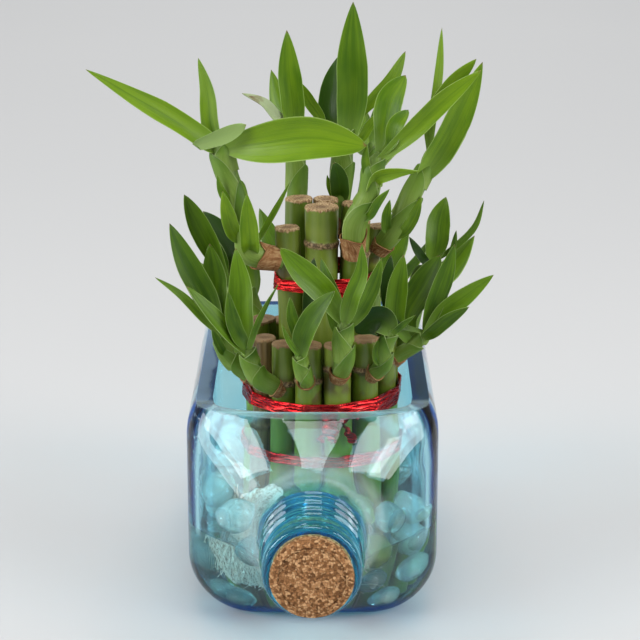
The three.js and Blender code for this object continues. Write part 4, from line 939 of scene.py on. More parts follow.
shoots = {
    "upper_cane_03": {
        "stem": ((-11.5, -48, 136), (-23.1, -51.5, 140), (-25.6, -52.5, 148.7), (-27.9, -51.5, 160.8),
                 (-31.2, -50, 169), (-33.2, -48.5, 176.2), (-34.5, -47.5, 181.2)),
        "radii": (3.7, 4.5, 3.5, 3.5, 4.1, 4.4, 2.6),
        "leaves": (
            blade(8.5, 0.35, 25, (-35, -48.2, 177.6), (-49.4, -49.8, 188.3), (-65.4, -52.4, 198.6),
                 (-81.8, -54, 209.2), tint=0.9),
            blade(6.6, 0.46, -18, (-34.8, -47.5, 177.8), (-37.4, -45, 187), (-38.7, -42.6, 199.2),
                 (-42.1, -40, 210.8)),
            blade(6, 0.7, 25, (-35, -48.3, 180.3), (-41.9, -54.5, 181.1), (-33.1, -57.1, 185),
                 (-24, -58.5, 189.4), blunt=0.6, tint=2),
            blade(16.1, 0.55, 8, (-33.8, -49.4, 178.4), (-18.6, -56.8, 182.3), (0.2, -62.1, 185.4),
                 (19.5, -66, 183.1), blunt=0.62, clasp=0, tint=0.93),
            blade(3.4, 0.45, 10, (-27.9, -52.7, 155.5), (-31.2, -54.3, 159.8), (-33.6, -55.6, 164.7),
                 (-34.9, -56.5, 170.2)),
            blade(5.9, 0.49, 0, (-26, -53.3, 144.4), (-29.3, -56.1, 149.3), (-31.3, -57.3, 156.8),
                 (-32.9, -58, 164.7)),
            blade(7, 0.48, 0, (-22.7, -52.9, 139.5), (-23, -57.7, 144.8), (-23.5, -59.4, 154.3),
                 (-24, -60, 164.2)),
            blade(2.4, 0.46, -20, (-22, -50.9, 141), (-17.3, -47.2, 148.6), (-12.7, -43.2, 156.2),
                 (-8.4, -40, 164.4)),
        ),
    },
    "upper_cane_02": {
        "stem": ((-4.9, -28, 144.6), (-6.1, -22.5, 150.2), (-6.3, -20, 157.5), (-6.2, -19, 167.1),
                 (-6.6, -20, 176.1), (-6.9, -20.5, 183)),
        "radii": (2.9, 3.3, 3.9, 3.8, 3.4, 1.9),
        "leaves": (
            blade(9.1, 0.5, 5, (-6.6, -20.5, 175.2), (-7.6, -21.5, 189.5), (-9, -22.5, 203.9),
                 (-9.6, -23, 218.5)),
            blade(4.7, 0.64, -15, (-6.1, -20.3, 181.9), (3.2, -18.5, 182.9), (-1.4, -18.5, 191.1),
                 (-6.5, -18, 199.3)),
            blade(4.8, 0.48, 30, (-7.6, -20.6, 180.7), (-13.2, -23.7, 185), (-18.6, -27.2, 191.7),
                 (-26.3, -30, 196), tint=1),
            blade(9, 0.4, 170, (-6.2, -18.2, 171.9), (-10.1, -11.4, 180.1), (-13.5, -6.2, 189.6),
                 (-16, -2, 200)),
        ),
    },
    "upper_cane_04": {
        "stem": ((6.5, -25.5, 139), (9.8, -18, 149), (11.3, -15, 163.3), (12, -16, 173.3),
                 (13.3, -17, 181.3)),
        "radii": (3, 3.6, 4.3, 3.8, 2.3),
        "leaves": (
            blade(11.8, 0.5, 4, (12.7, -17.1, 172.6), (14.8, -19.1, 191.1), (14.8, -21.5, 210),
                 (15.2, -23, 229.1)),
            blade(5.7, 0.61, 20, (14, -17, 180.4), (20.9, -16.8, 189), (29.6, -14.3, 197.9),
                 (35.6, -11, 208.7)),
            blade(4.1, 0.61, 20, (13.3, -16.6, 174.2), (18, -18.1, 175.8), (21.2, -18, 180.8),
                 (24.8, -17.5, 185.6)),
            blade(8, 0.54, -15, (11.4, -15.9, 176.6), (6.3, -12.9, 184), (7.5, -11.4, 195.8),
                 (10.5, -10, 207.6), tint=-1),
            blade(7.3, 0.54, 0, (10.3, -18.4, 151.6), (10.5, -20.8, 155.9), (9.9, -21.7, 161.8),
                 (8.4, -22, 167.7), blunt=0.6, tint=-1),
            blade(2.3, 0.54, -10, (9.7, -18.2, 152), (7.9, -20.5, 154.3), (6.4, -21.1, 158.4),
                 (5.5, -21.5, 162.7)),
            blade(11, 0.4, 175, (11.2, -13.8, 167.9), (12.7, -6.4, 181.1), (13.8, 2.1, 194.2),
                 (14, 12, 206)),
        ),
    },
    "upper_cane_06": {
        "stem": ((15.5, -50, 137), (15.3, -55.5, 151.4), (19.1, -58.5, 160.1), (21.1, -59.5, 164.6),
                 (22.1, -60, 172.6), (24.6, -60, 179.6)),
        "radii": (3.3, 4.4, 4, 3.7, 3.8, 2.2),
        "leaves": (
            blade(5.3, 0.35, 35, (20.6, -60.7, 164.6), (23.5, -64.7, 171.4), (30.6, -68.4, 174.1),
                 (38.4, -72, 175.2)),
            blade(10.1, 0.6, -12, (24.9, -59.6, 178.6), (26.8, -56.2, 188.3), (28.7, -52.4, 197.7),
                 (34, -50, 206.2), blunt=0.7),
            blade(6.2, 0.66, -20, (24.9, -60.4, 178.8), (28.6, -62.4, 183.3), (30.4, -62.1, 190.1),
                 (34.6, -60, 195.5), blunt=0.65),
            blade(7.4, 0.55, 15, (23.9, -60.9, 176.7), (35.4, -64.7, 188), (47.1, -66.6, 200.1),
                 (60.2, -67, 210.7)),
            blade(3.5, 0.55, 20, (17.2, -57.9, 154.6), (20.7, -61.5, 156.4), (23.8, -63.3, 161.9),
                 (28, -65, 166.8)),
            blade(3.3, 0.45, -10, (20.8, -60.9, 168.8), (19.8, -62.3, 173.5), (19.3, -63.1, 178.4),
                 (19.8, -63, 183.4)),
        ),
    },
    "upper_cane_07": {
        "stem": ((24, -41, 137.5), (28.9, -43.5, 144.5), (33.9, -44.5, 152.5), (37.5, -44, 161),
                 (41.2, -42.5, 167.4), (44, -41.5, 173.8)),
        "radii": (3.1, 3.9, 4.1, 3.9, 3.4, 2.1),
        "leaves": (
            blade(10.5, 0.45, 18, (40.2, -44, 166.2), (48.7, -45.7, 180), (55.9, -46, 194.8),
                 (62.4, -46, 210.2)),
            blade(3.4, 0.55, -10, (43.6, -41.6, 173.5), (44.9, -40.1, 189.4), (47, -36.4, 205.2),
                 (48, -32, 220.9)),
            blade(5.7, 0.7, 15, (43.5, -41.6, 173.5), (42.7, -41, 188.1), (50.2, -41.9, 200.1),
                 (60.3, -43, 210.8)),
            blade(4.6, 0.53, 15, (29.7, -44.6, 144.4), (34, -47.6, 147.1), (37.8, -48.2, 153.5),
                 (40.5, -48.5, 160.6)),
            blade(3.7, 0.54, 0, (28.9, -44.9, 145.6), (27.5, -47.6, 148.5), (27.7, -48.1, 153.8),
                 (28.8, -48, 159.1)),
            blade(11, 0.4, 150, (42.2, -41.1, 170), (49.3, -34.2, 177.8), (55.4, -28.8, 187.1),
                 (60, -24, 198)),
        ),
    },
    "upper_cane_05": {
        "stem": ((15.5, -21, 139), (20, -14, 148), (22.5, -8.5, 160), (23, -5, 172)),
        "radii": (3, 3.6, 3.3, 2),
        "leaves": (
            blade(11, 0.4, 170, (22, -6.7, 166.9), (26.5, 2.1, 176.5), (30.8, 9.6, 187.2), (34, 16, 199)),
            blade(10, 0.4, 190, (22.1, -6.1, 167.9), (19.2, 3.4, 175.9), (16.8, 14, 182.6), (14, 26, 186)),
            blade(9, 0.45, 140, (21.7, -8.4, 161.7), (25.7, -5.4, 167.2), (34.3, -0.9, 173.9), (44, 2, 180)),
        ),
    },
    "lower_cane_03": {
        "stem": ((-11.5, -57.5, 88), (-19.6, -62.5, 93.9), (-22.9, -65, 101.1), (-24.2, -67, 107.5)),
        "radii": (3, 3.6, 3.5, 2.4),
        "leaves": (
            blade(6.2, 0.5, 28, (-24.3, -67.2, 105.3), (-31, -70.9, 114.4), (-38, -73.7, 123.8),
                 (-45.3, -75, 133.3)),
            blade(9.3, 0.5, -5, (-24.3, -66.5, 105), (-26.2, -65, 117.8), (-26.6, -63.4, 131.1),
                 (-28.2, -62, 144.3)),
            blade(5.6, 0.45, 12, (-24.5, -67.5, 107.3), (-27.8, -70.4, 114.4), (-29.8, -72.2, 122.2),
                 (-30.6, -73, 130.7)),
            blade(2.3, 0.35, 15, (-23.9, -67.6, 106.6), (-20.9, -70.7, 116.2), (-17, -73.6, 125.4),
                 (-12.1, -76, 134.5)),
        ),
    },
    "lower_cane_02": {
        "stem": ((-20, -47.5, 88), (-29, -49.5, 94.9), (-32.7, -51, 100.6), (-35.8, -52, 109.3)),
        "radii": (2.6, 3, 3.1, 2.2),
        "leaves": (
            blade(3.7, 0.48, 25, (-35.8, -52.6, 108.7), (-41.9, -56.4, 116.7), (-48.9, -59.6, 125.5),
                 (-57.6, -62, 133.2)),
            blade(9.5, 0.53, 10, (-35.2, -52.2, 109.1), (-39.9, -54.3, 122.6), (-46.8, -55.5, 136.9),
                 (-52.6, -56, 152)),
            blade(9.8, 0.52, -5, (-34.7, -52.2, 108.5), (-36.4, -51.5, 119.8), (-37, -50.5, 131.1),
                 (-38.5, -49.5, 142.7)),
            blade(3.4, 0.54, 10, (-32.8, -52.1, 100.6), (-34, -54.8, 102.6), (-35.9, -55.6, 106.9),
                 (-37.7, -56, 111.2)),
        ),
    },
    "lower_cane_01": {
        "stem": ((-22, -36, 92), (-28, -35.5, 98), (-31, -35, 110), (-32, -34, 122)),
        "radii": (2.8, 3.4, 3.4, 2.4),
        "leaves": (
            blade(8.5, 0.62, 12, (-32.2, -34.3, 121.6), (-37.4, -36.6, 134.1), (-43, -38.4, 146.4),
                 (-48.2, -40, 159.3)),
            blade(6.8, 0.63, 25, (-31.8, -34, 121.7), (-30.7, -33, 132.6), (-34.9, -28.2, 141.6),
                 (-42, -25, 149.6), tint=-1),
            blade(5.5, 0.68, -10, (-31.7, -34, 121.6), (-29.1, -32.7, 131.1), (-30.8, -26.9, 138.3),
                 (-35.5, -22, 145.6), tint=-1),
            blade(10, 0.4, 60, (-31.1, -33.8, 111.9), (-38.5, -28.5, 119.2), (-46.3, -23.3, 126.7),
                 (-54, -18, 134)),
        ),
    },
    "lower_cane_04": {
        "stem": ((-2, -62.5, 92), (-3.1, -69, 97), (-4.2, -72.5, 103), (-4.5, -75, 108.1)),
        "radii": (2.4, 2.9, 2.6, 2),
        "leaves": (
            blade(7.7, 0.52, -10, (-4.4, -74.6, 105.4), (-3.2, -78.7, 115.5), (1.2, -81.3, 125.3),
                 (8, -83, 133.9)),
            blade(2.2, 0.45, 10, (-4.7, -75.2, 106.9), (-7, -78.4, 111), (-9.2, -80.8, 115.7),
                 (-11, -82, 120.9)),
            blade(5.6, 0.66, -10, (-4.3, -74.7, 108.3), (-1.6, -73.2, 119.5), (-0.3, -71.8, 131.1),
                 (0.5, -70.5, 142.9), tint=-1),
            blade(4.4, 0.54, 0, (-4.5, -74.8, 108.3), (-5.6, -75.4, 115.4), (-7.4, -76.2, 122.3),
                 (-8.1, -77, 129.6)),
        ),
    },
    "lower_cane_05": {
        "stem": ((9.5, -62.5, 94), (11.4, -70.5, 103.8), (11.3, -73, 112.3), (12.1, -75, 120.5)),
        "radii": (2.8, 3.8, 3.7, 2.4),
        "leaves": (
            blade(6.2, 0.42, -6, (12, -75.7, 119.7), (14.3, -78.3, 129.7), (17.7, -79.2, 139.7),
                 (17.8, -80, 150.4)),
            blade(6.1, 0.48, 18, (12.6, -75, 117.8), (18, -75.5, 125.6), (22.1, -75, 134.4),
                 (25.1, -75, 143.6)),
            blade(9.4, 0.55, 0, (11.3, -74.3, 119.7), (4.9, -75, 130.1), (-3.4, -76, 139),
                 (-11.6, -77, 148.1), blunt=0.7),
            blade(7, 0.4, -10, (11, -72, 113), (8.6, -69.6, 122.4), (5.9, -66.9, 131.7), (3, -64, 141)),
        ),
    },
    "lower_cane_06": {
        "stem": ((21.5, -57, 93), (26, -62, 99.6), (26.7, -65, 106.9), (29.8, -67, 114)),
        "radii": (2.6, 3.2, 3, 1.7),
        "leaves": (
            blade(10.9, 0.5, -10, (30, -66.7, 113.5), (25.6, -64.8, 117.6), (20.4, -62.9, 115.9),
                 (16, -61.5, 111.3), blunt=0.7, tint=-1),
            blade(2.3, 0.4, 15, (29.5, -67.4, 113.2), (31.9, -69.2, 115.9), (34.5, -70.8, 118.6),
                 (37.6, -72, 121.1)),
            blade(3, 0.56, 0, (25.7, -63.6, 100.8), (24, -66.2, 102.3), (23.7, -67.1, 106.4),
                 (24.5, -67.5, 110.6)),
        ),
    },
    "lower_cane_07": {
        "stem": ((28.5, -43.5, 95), (37.1, -45, 100.9), (41, -46, 104.3), (43.6, -47, 108.1)),
        "radii": (2.6, 2.8, 2.7, 1.7),
        "leaves": (
            blade(7.4, 0.5, 15, (42.7, -47.4, 106.9), (49.5, -49.4, 116.3), (58.4, -50.5, 123.7),
                 (67.8, -51, 131)),
            blade(5.2, 0.56, 20, (41.4, -47, 105), (44.6, -52.6, 109), (50.8, -57, 115.6), (58, -61, 121.2)),
            blade(7.2, 0.5, 5, (42.9, -47.3, 107.9), (46, -49, 119.4), (49.9, -49.5, 130.8),
                 (53.2, -50, 142.5)),
            blade(10.8, 0.61, -10, (38.2, -45.3, 102.9), (35.9, -44.5, 113.5), (42, -43.2, 124.8),
                 (48.1, -42, 136.2), blunt=0.7),
            blade(7.9, 0.6, 0, (37.4, -45.6, 102.2), (31.5, -50.5, 113.2), (31.8, -54.1, 126.6),
                 (33.8, -57, 140.3)),
            blade(5.3, 0.68, 0, (42.3, -46.9, 107.3), (31.1, -50.8, 112.8), (28, -51, 125.3),
                 (29.4, -50, 138.5), tint=-1),
        ),
    },
    "lower_cane_08": {
        "stem": ((30, -33.5, 91), (35, -33, 98), (38.5, -32.5, 112), (41, -33, 125), (45, -33, 131)),
        "radii": (2.8, 3.4, 3.2, 2.8, 1.8),
        "leaves": (
            blade(9.2, 0.55, 5, (45, -33.2, 130.6), (47, -32.5, 137.8), (48.1, -30, 146.9),
                 (51, -28, 155.6)),
            blade(2.6, 0.54, 20, (45, -33.1, 130.6), (53.8, -34.3, 137.5), (61.3, -35.5, 145.6),
                 (64.9, -37, 156)),
            blade(2.3, 0.65, 0, (45.1, -33.2, 130.4), (51.1, -34.9, 131.8), (53.5, -35, 137.6),
                 (54.6, -35, 144.1)),
            blade(3.4, 0.53, 0, (44.4, -33.7, 130.3), (42.6, -36.9, 132.9), (39.4, -38.3, 137.8),
                 (36.6, -40, 142.9), tint=-1),
            blade(10, 0.4, 150, (40.3, -31.9, 118), (48.4, -26.9, 123.2), (56.1, -23, 130), (63, -20, 138)),
        ),
    },
    "lower_cane_10": {
        "stem": ((18.5, -14, 92), (22, -8, 97), (24, -3, 107), (25, 0, 117)),
        "radii": (2.8, 3.4, 3.2, 2.2),
        "leaves": (
            blade(11, 0.4, 160, (25, -1, 114), (30.2, 4.8, 123), (34.5, 9.9, 133.1), (38, 14, 144)),
            blade(10, 0.4, 185, (24, -1, 113), (21.6, 6.1, 121.9), (19, 13.2, 130.9), (16, 20, 140)),
            blade(9, 0.4, 120, (24.9, -2.9, 110), (33, -1.8, 116.3), (40.5, -1.4, 123.7), (47, -2, 132)),
        ),
    },
    "lower_cane_12": {
        "stem": ((-3.5, -11, 93), (-5, -4, 98), (-6, 2, 108), (-6, 6, 118)),
        "radii": (2.8, 3.5, 3.3, 2.2),
        "leaves": (
            blade(11, 0.4, 175, (-6, 4, 114), (-3.5, 11.8, 123.1), (-0.8, 19.2, 132.8), (2, 26, 143)),
            blade(11, 0.4, 200, (-6, 4, 113), (-11.8, 10.4, 121.1), (-17.2, 16.4, 129.6), (-22, 22, 139)),
            blade(9, 0.4, 180, (-6, 2, 110), (-7.1, 10.5, 115.7), (-8.4, 19.9, 120.1), (-10, 30, 122)),
        ),
    },
    "lower_cane_13": {
        "stem": ((-14, -17, 91), (-19, -13, 95), (-23, -9, 104), (-26, -7, 114)),
        "radii": (2.8, 3.4, 3.2, 2.2),
        "leaves": (
            blade(11, 0.4, 215, (-25, -8, 110), (-31.2, -4, 119.8), (-36.9, -0.6, 130), (-42, 2, 141)),
            blade(10, 0.4, 185, (-25, -8, 110), (-26.3, -2, 121.2), (-27.6, 3.4, 132.9), (-29, 8, 145)),
            blade(9, 0.4, 240, (-23.9, -9.5, 105.9), (-32.1, -9.4, 113.2), (-40.7, -8.8, 120),
                 (-50, -8, 126)),
        ),
    },
}

jointSwell = (  # millimetres along the cane and out of it, round a joint
    (-4.5, 0), (-2.2, 0.05), (-1.1, 0.3), (-0.4, 0.5), (0.1, 0.5),
    (0.5, 0.22), (1.1, -0.08), (2.4, -0.12), (5, 0),
)
cutSwell = ((-4, 0), (-1.6, 0), (-0.5, 0.05), (0, -0.25))  # the same below the cut


def roundBundle(degrees, reach, z=0):  # a place beside the bundle, 0 degrees being towards the neck
    turn = math.radians(degrees)
    return Vector((bundle["x"] / mm + reach * math.sin(turn), bundle["y"] / mm - reach * math.cos(turn), z))


def caneCentre(cane, z):
    if "angle" in cane:
        return roundBundle(cane["angle"], caneShape["ringRadius"]).xy
    share = max(0, (z - caneShape["bendZ"]) / (cane["topZ"] - caneShape["bendZ"]))
    return Vector(cane["foot"]).lerp(Vector(cane["top"]), share)


def caneFoot(cane):  # above the round of the glass
    z = caneShape["footZ"]
    centre = caneCentre(cane, z)
    half = innerHalf((centre.y - cane["radius"]) * mm)
    needed = (abs(centre.x) + cane["radius"] + caneShape["glassGap"]) * mm
    while z < caneShape["highestFoot"] and reachAt(half, z * mm) < needed:
        z += 0.5
    return z


def caneLevels(cane):
    foot = caneFoot(cane)
    levels = [(foot, -0.5), (foot + 0.6, 0)]
    for joint in cane["joints"]:
        levels += [(joint + along, out) for along, out in jointSwell]
    z = foot + caneShape["rowStep"]
    while z < cane["topZ"] - caneShape["clear"]:
        if all(abs(z - joint) > caneShape["clear"] for joint in cane["joints"]):
            levels.append((z, 0))
        z += caneShape["rowStep"]
    return sorted(levels + [(cane["topZ"] + along, out) for along, out in cutSwell])


def raiseCane(cane):
    levels = caneLevels(cane)
    z, swell = levels[0]
    centre = caneCentre(cane, z)
    bpy.ops.object.select_all(action="DESELECT")
    bpy.ops.mesh.primitive_circle_add(
        vertices=caneShape["sides"], radius=(cane["radius"] + swell) * mm, fill_type="NGON",
        location=(centre.x * mm, centre.y * mm, z * mm),
    )
    stalk = bpy.context.view_layer.objects.active
    bpy.ops.object.transform_apply(location=True)
    bpy.ops.object.mode_set(mode="EDIT")
    bpy.ops.mesh.select_all(action="SELECT")
    for nextZ, nextSwell in levels[1:]:
        middle = caneCentre(cane, nextZ)
        step = ((middle.x - centre.x) * mm, (middle.y - centre.y) * mm, (nextZ - z) * mm)
        bpy.ops.mesh.extrude_region_move(TRANSFORM_OT_translate={"value": step})
        grow = (cane["radius"] + nextSwell) / (cane["radius"] + swell)
        middlePlace = (middle.x * mm, middle.y * mm, nextZ * mm)
        bpy.ops.transform.resize(value=(grow, grow, 1), center_override=middlePlace)
        z, swell, centre = nextZ, nextSwell, middle
    for thickness, drop in ((0.9, 0), (1.1, -0.15), (1.2, -0.1)):  # the cut sinks towards its middle
        bpy.ops.mesh.inset(thickness=thickness * mm)
        bpy.ops.transform.translate(value=(0, 0, drop * mm))
    bpy.ops.mesh.poke()
    turnOutward()
    return stalk


def roughenCane(stalk, cane, draw):  # and notes for its finish where the joints and the cut are
    offset = Vector((draw.random(), draw.random(), draw.random())) * 40
    notes = {"fromJoint": [], "fromTop": [], "inward": []}
    for vertex in stalk.data.vertices:
        height = vertex.co.z / mm
        centre = caneCentre(cane, height)
        nearest = min((height - joint for joint in cane["joints"]), key=abs, default=60)
        below = cane["topZ"] - height
        away = math.hypot(vertex.co.x / mm - centre.x, vertex.co.y / mm - centre.y)
        notes["fromJoint"].append(max(-60, min(60, nearest)))
        notes["fromTop"].append(below)
        notes["inward"].append(1 - min(1, away / cane["radius"]))
        rough = noise.noise(vertex.co * 260 + offset)
        if below < caneShape["torn"]:  # the cut is torn and uneven
            vertex.co.z += (0.45 * rough - 0.2) * mm
        elif abs(nearest) < caneShape["ragged"]:
            vertex.co.z += 0.35 * rough * mm
        outward = Vector((vertex.co.x - centre.x * mm, vertex.co.y - centre.y * mm, 0))
        vertex.co += outward * (0.03 * noise.noise(vertex.co * 45 + offset))
    shade = draw.random()
    notes["tint"] = [cane.get("tint", shade)] * len(stalk.data.vertices)
    for name, values in notes.items():
        setAttribute(stalk, name, values)


# Leaves: one blank, flat from its base to its tip, bent into every leaf

leafBlank = {"across": 10, "along": 26, "thick": 1.0, "fold": 0.15, "wave": 0.04}


def outlineAt(leaf, t):  # the width at t as a share of the greatest
    lean = math.log(0.5) / math.log(leaf["full"])
    swell = max(0, math.sin(math.pi * t ** lean)) ** leaf.get("blunt", 0.8)
    return max(0.012, min(1, swell + leaf.get("clasp", 0.34) * (1 - t) ** 3))


def cutBlank():
    bpy.ops.object.select_all(action="DESELECT")
    bpy.ops.mesh.primitive_grid_add(
        x_subdivisions=leafBlank["across"], y_subdivisions=leafBlank["along"], size=2,
    )
    blank = bpy.context.view_layer.objects.active
    edit(blank)
    bpy.ops.mesh.select_all(action="SELECT")
    bpy.ops.transform.resize(value=(1, 0.5, 1), center_override=(0, -1, 0))
    bpy.ops.transform.translate(value=(0, 1, 0))
    leaveEdit()
    applyModifier(blank, "SOLIDIFY", thickness=1, offset=0)
    return blank


blankLeaf = cutBlank()


def copyBlank(moved, tint):  # moved gives each point of the copy its place
    leaf = copyOf(blankLeaf)
    for vertex in leaf.data.vertices:
        vertex.co = moved(vertex.co.x, min(max(vertex.co.y, 0), 1), vertex.co.z) * mm
    setAttribute(leaf, "tint", [tint] * len(leaf.data.vertices))
    return leaf


def bendLeaf(leaf, draw):
    path = [Vector(p) for p in leaf["path"]]
    viewer = Vector((0, -1, 0.3)).normalized()
    phase, twist, curl = draw.uniform(0, 6.3), draw.uniform(-7, 7), draw.uniform(0.1, 0.9)
    ripples = draw.uniform(5, 9)
    rows = {}

    def row(t):
        key = round(t, 4)
        if key not in rows:
            middle = splinePoint(path, t)
            along = (splinePoint(path, min(1, t + 0.01)) - splinePoint(path, max(0, t - 0.01))).normalized()
            facing = (viewer - along * viewer.dot(along)).normalized()
            facing = Matrix.Rotation(math.radians(leaf["roll"] + twist * (t - 0.4)), 3, along) @ facing
            rows[key] = (middle, along.cross(facing).normalized(), facing, outlineAt(leaf, t))
        return rows[key]

    def moved(x, t, z):
        middle, side, facing, outline = row(t)
        half = leaf["wide"] / 2 * outline
        fold = leafBlank["fold"] * (1.7 - 1.1 * t)
        lift = leaf["wide"] * outline * fold * abs(x) ** 1.8
        ripple = math.sin(ripples * t + phase) * math.sin(math.pi * t)
        wave = leafBlank["wave"] * leaf["wide"] * x * abs(x) * ripple
        thick = leafBlank["thick"] * (0.3 + 0.7 * (1 - x * x)) * min(1, 0.35 + 3 * outline)
        return middle + side * half * x + facing * (lift + wave + z * thick - curl * t ** 5)

    return copyBlank(moved, leaf.get("tint") or draw.uniform(0, 0.9))


def stemFrame(stem, t):
    middle = splinePoint(stem, t)
    along = (splinePoint(stem, min(1, t + 0.02)) - splinePoint(stem, max(0, t - 0.02))).normalized()
    viewer = Vector((0, -1, 0))
    facing = (viewer - along * viewer.dot(along)).normalized()
    return middle, along.cross(facing).normalized(), facing


def radiusAt(radii, t):
    along = min(max(t, 0), 1) * (len(radii) - 1)
    k = min(int(along), len(radii) - 2)
    return lerp(radii[k], radii[k + 1], along - k)


# A sheath is a clasping leaf base, open on one side: how far round it goes, and where along the stem.

sheath = {
    "wrap": 125, "gap": 0.3, "flare": 0.55, "taper": 0.06, "thick": 0.45,
    "count": 3, "lowest": 0.08, "step": 0.3, "long": 0.52, "turn": 62, "sway": 16,
}
husk = {"turns": (-120, 0, 120), "sway": 30, "lowest": 0.02, "loose": 1.1}
stemShape = {"steps": 14, "sides": 14, "fill": 0.96, "tipFill": 0.6, "flat": 0.92}


def wrapSheath(shoot, low, high, turn, tint, loose=1.0):
    stem = [Vector(p) for p in shoot["stem"]]

    def moved(x, t, z):
        along = lerp(low, high, t)
        middle, side, facing = stemFrame(stem, along)
        angle = math.radians(turn + sheath["wrap"] * x * (1 - t ** 2.4) ** 0.8)
        out = radiusAt(shoot["radii"], along) * (loose - sheath["taper"] * t)
        out += sheath["gap"] + sheath["flare"] * t * t + z * sheath["thick"]
        return middle + (facing * math.cos(angle) - side * math.sin(angle)) * out

    return copyBlank(moved, tint)


def growStem(shoot):
    stem = [Vector(p) for p in shoot["stem"]]
    rings = []
    for step in range(stemShape["steps"] + 1):
        t = step / stemShape["steps"]
        middle, side, facing = stemFrame(stem, t)
        radius = radiusAt(shoot["radii"], t) * stemShape["fill" if t < 1 else "tipFill"]
        flat = radius * stemShape["flat"]
        rings.append([(middle + side * radius * math.cos(a) + facing * flat * math.sin(a)) * mm
                      for a in turns(stemShape["sides"])])
    tube = skinRings("stem", rings)
    setAttribute(tube, "tint", [0.5] * len(tube.data.vertices))
    return tube


def growShoot(shoot, draw):
    sheaths = []
    for k in range(sheath["count"]):
        low = sheath["lowest"] + sheath["step"] * k
        turn = sheath["turn"] * (1 if k % 2 else -1) + draw.uniform(-sheath["sway"], sheath["sway"])
        sheaths.append(wrapSheath(shoot, low, min(0.99, low + sheath["long"]), turn, draw.random()))
    husks = []
    for around in husk["turns"]:
        high = draw.uniform(0.1, 0.2)
        turn = around + draw.uniform(-husk["sway"], husk["sway"])
        husks.append(wrapSheath(shoot, husk["lowest"], high, turn, draw.random(), husk["loose"]))
    return sheaths, husks, [bendLeaf(leaf, draw) for leaf in shoot["leaves"]]


# the lower tier gets the darker greens, as painted shade
upperLeaf, shadedLowerLeaf = leafFinish("upper"), leafFinish("lower")
stemGreen, sheathGreen, caneGreen, dryHusk = stemFinish(), sheathFinish(), caneFinish(), huskFinish()


def dress(pieces, finish):
    for piece in pieces:
        piece.data.materials.append(finish)
    return pieces


def growPlant():
    draw = random.Random(caneShape["seed"])
    for cane in lowerCanes + upperCanes:
        name = cane["name"]
        stalk = raiseCane(cane)
        roughenCane(stalk, cane, draw)
        stalk.name = stalk.data.name = name.replace("_cane_", "Cane")
        stalk.data.materials.append(caneGreen)
        smooth(stalk, 55)
        finishPiece(stalk, "bamboo_cane", name)
        if name not in shoots:
            continue
        shoot = shoots[name]
        sheaths, husks, leaves = growShoot(shoot, draw)
        foliage = dress(leaves, upperLeaf if name.startswith("upper") else shadedLowerLeaf)
        foliage += dress(sheaths, sheathGreen) + dress(husks, dryHusk) + dress([growStem(shoot)], stemGreen)
        foliage = joinAll(foliage, name.replace("_cane_", "Shoot"))
        smooth(foliage, 60)
        finishPiece(foliage, "bamboo_shoot", name)


growPlant()
bpy.data.objects.remove(blankLeaf)
print("canes and shoots grown")


# Foil ties

ties = {
    "foot_tie": {"z": 60.5, "height": 4.8, "wide": 2.9, "canes": lowerCanes},
    "lower_tie": {"z": 82.2, "height": 7.6, "wide": 4.3, "canes": lowerCanes},
    "upper_tie": {"z": 127, "height": 7.6, "wide": 3.8, "canes": upperCanes[:7]},
}
ribbon = {
    "strands": 3, "steps": 220, "across": 9, "gap": 0.45, "overlap": 0.16, "thick": 0.35,
    "off": 0.15, "crease": 0.22, "fine": 0.1, "lean": 0.12, "sway": 0.5, "seed": 11,
}


def pulledTight(canes, z, gap, angle):  # where a band that is pulled round the canes lies at one angle
    x, y = bundle["x"] / mm, bundle["y"] / mm

    def reach(turn):
        outermost = 0
        for cane in canes:
            centre = caneCentre(cane, z)
            across = centre.x * math.cos(turn) + centre.y * math.sin(turn)
            out = across + cane["radius"] + gap - (x * math.cos(turn) + y * math.sin(turn))
            outermost = max(outermost, out)
        return outermost

    small = 0.02
    out = reach(angle)
    slope = (reach(angle + small) - reach(angle - small)) / (2 * small)
    return Vector((
        x + out * math.cos(angle) - slope * math.sin(angle),
        y + out * math.sin(angle) + slope * math.cos(angle),
    ))


def wrapStrand(tie, strand, draw):
    phase, drift = draw.uniform(0, 6.3), draw.uniform(0.5, 1)
    between = ribbon["strands"] - 1
    middle = (strand - between / 2) * (tie["height"] - tie["wide"]) / between
    shares = [k / (ribbon["across"] - 1) for k in range(ribbon["across"])]
    edges = [(share, ribbon["thick"]) for share in shares] + [(1 - share, 0) for share in shares]
    rings = []
    for angle in turns(ribbon["steps"]):
        z = tie["z"] + middle * math.cos(angle + drift) + ribbon["sway"] * math.sin(2 * angle + phase)
        lean = ribbon["lean"] * math.sin(3 * angle + phase)
        place = pulledTight(tie["canes"], z, ribbon["gap"] + ribbon["overlap"] * strand, angle)
        facing = Vector((math.cos(angle), math.sin(angle), 0))
        ring = []
        for share, offset in edges:
            up = (share - 0.5) * tie["wide"]
            crease = ribbon["crease"] * noise.noise(Vector((angle * 9, up * 0.9 + strand * 7, phase)))
            fine = ribbon["fine"] * noise.noise(Vector((angle * 34, up * 1.6 + strand * 5, phase)))
            out = offset + crease + fine + lean * up * 0.5 + ribbon["off"]
            ring.append((Vector((place.x, place.y, z + up)) + facing * out) * mm)
        rings.append(ring)
    return closeLoop(rings)


def closeLoop(rings):  # a ring-shaped skin, whose last section meets its first
    count = len(rings[0])
    faces = []
    for r in range(len(rings)):
        following = (r + 1) % len(rings)
        for i in range(count):
            j = (i + 1) % count
            faces.append((r * count + i, following * count + i, following * count + j, r * count + j))
    return meshPiece("strand", [p for ring in rings for p in ring], faces)


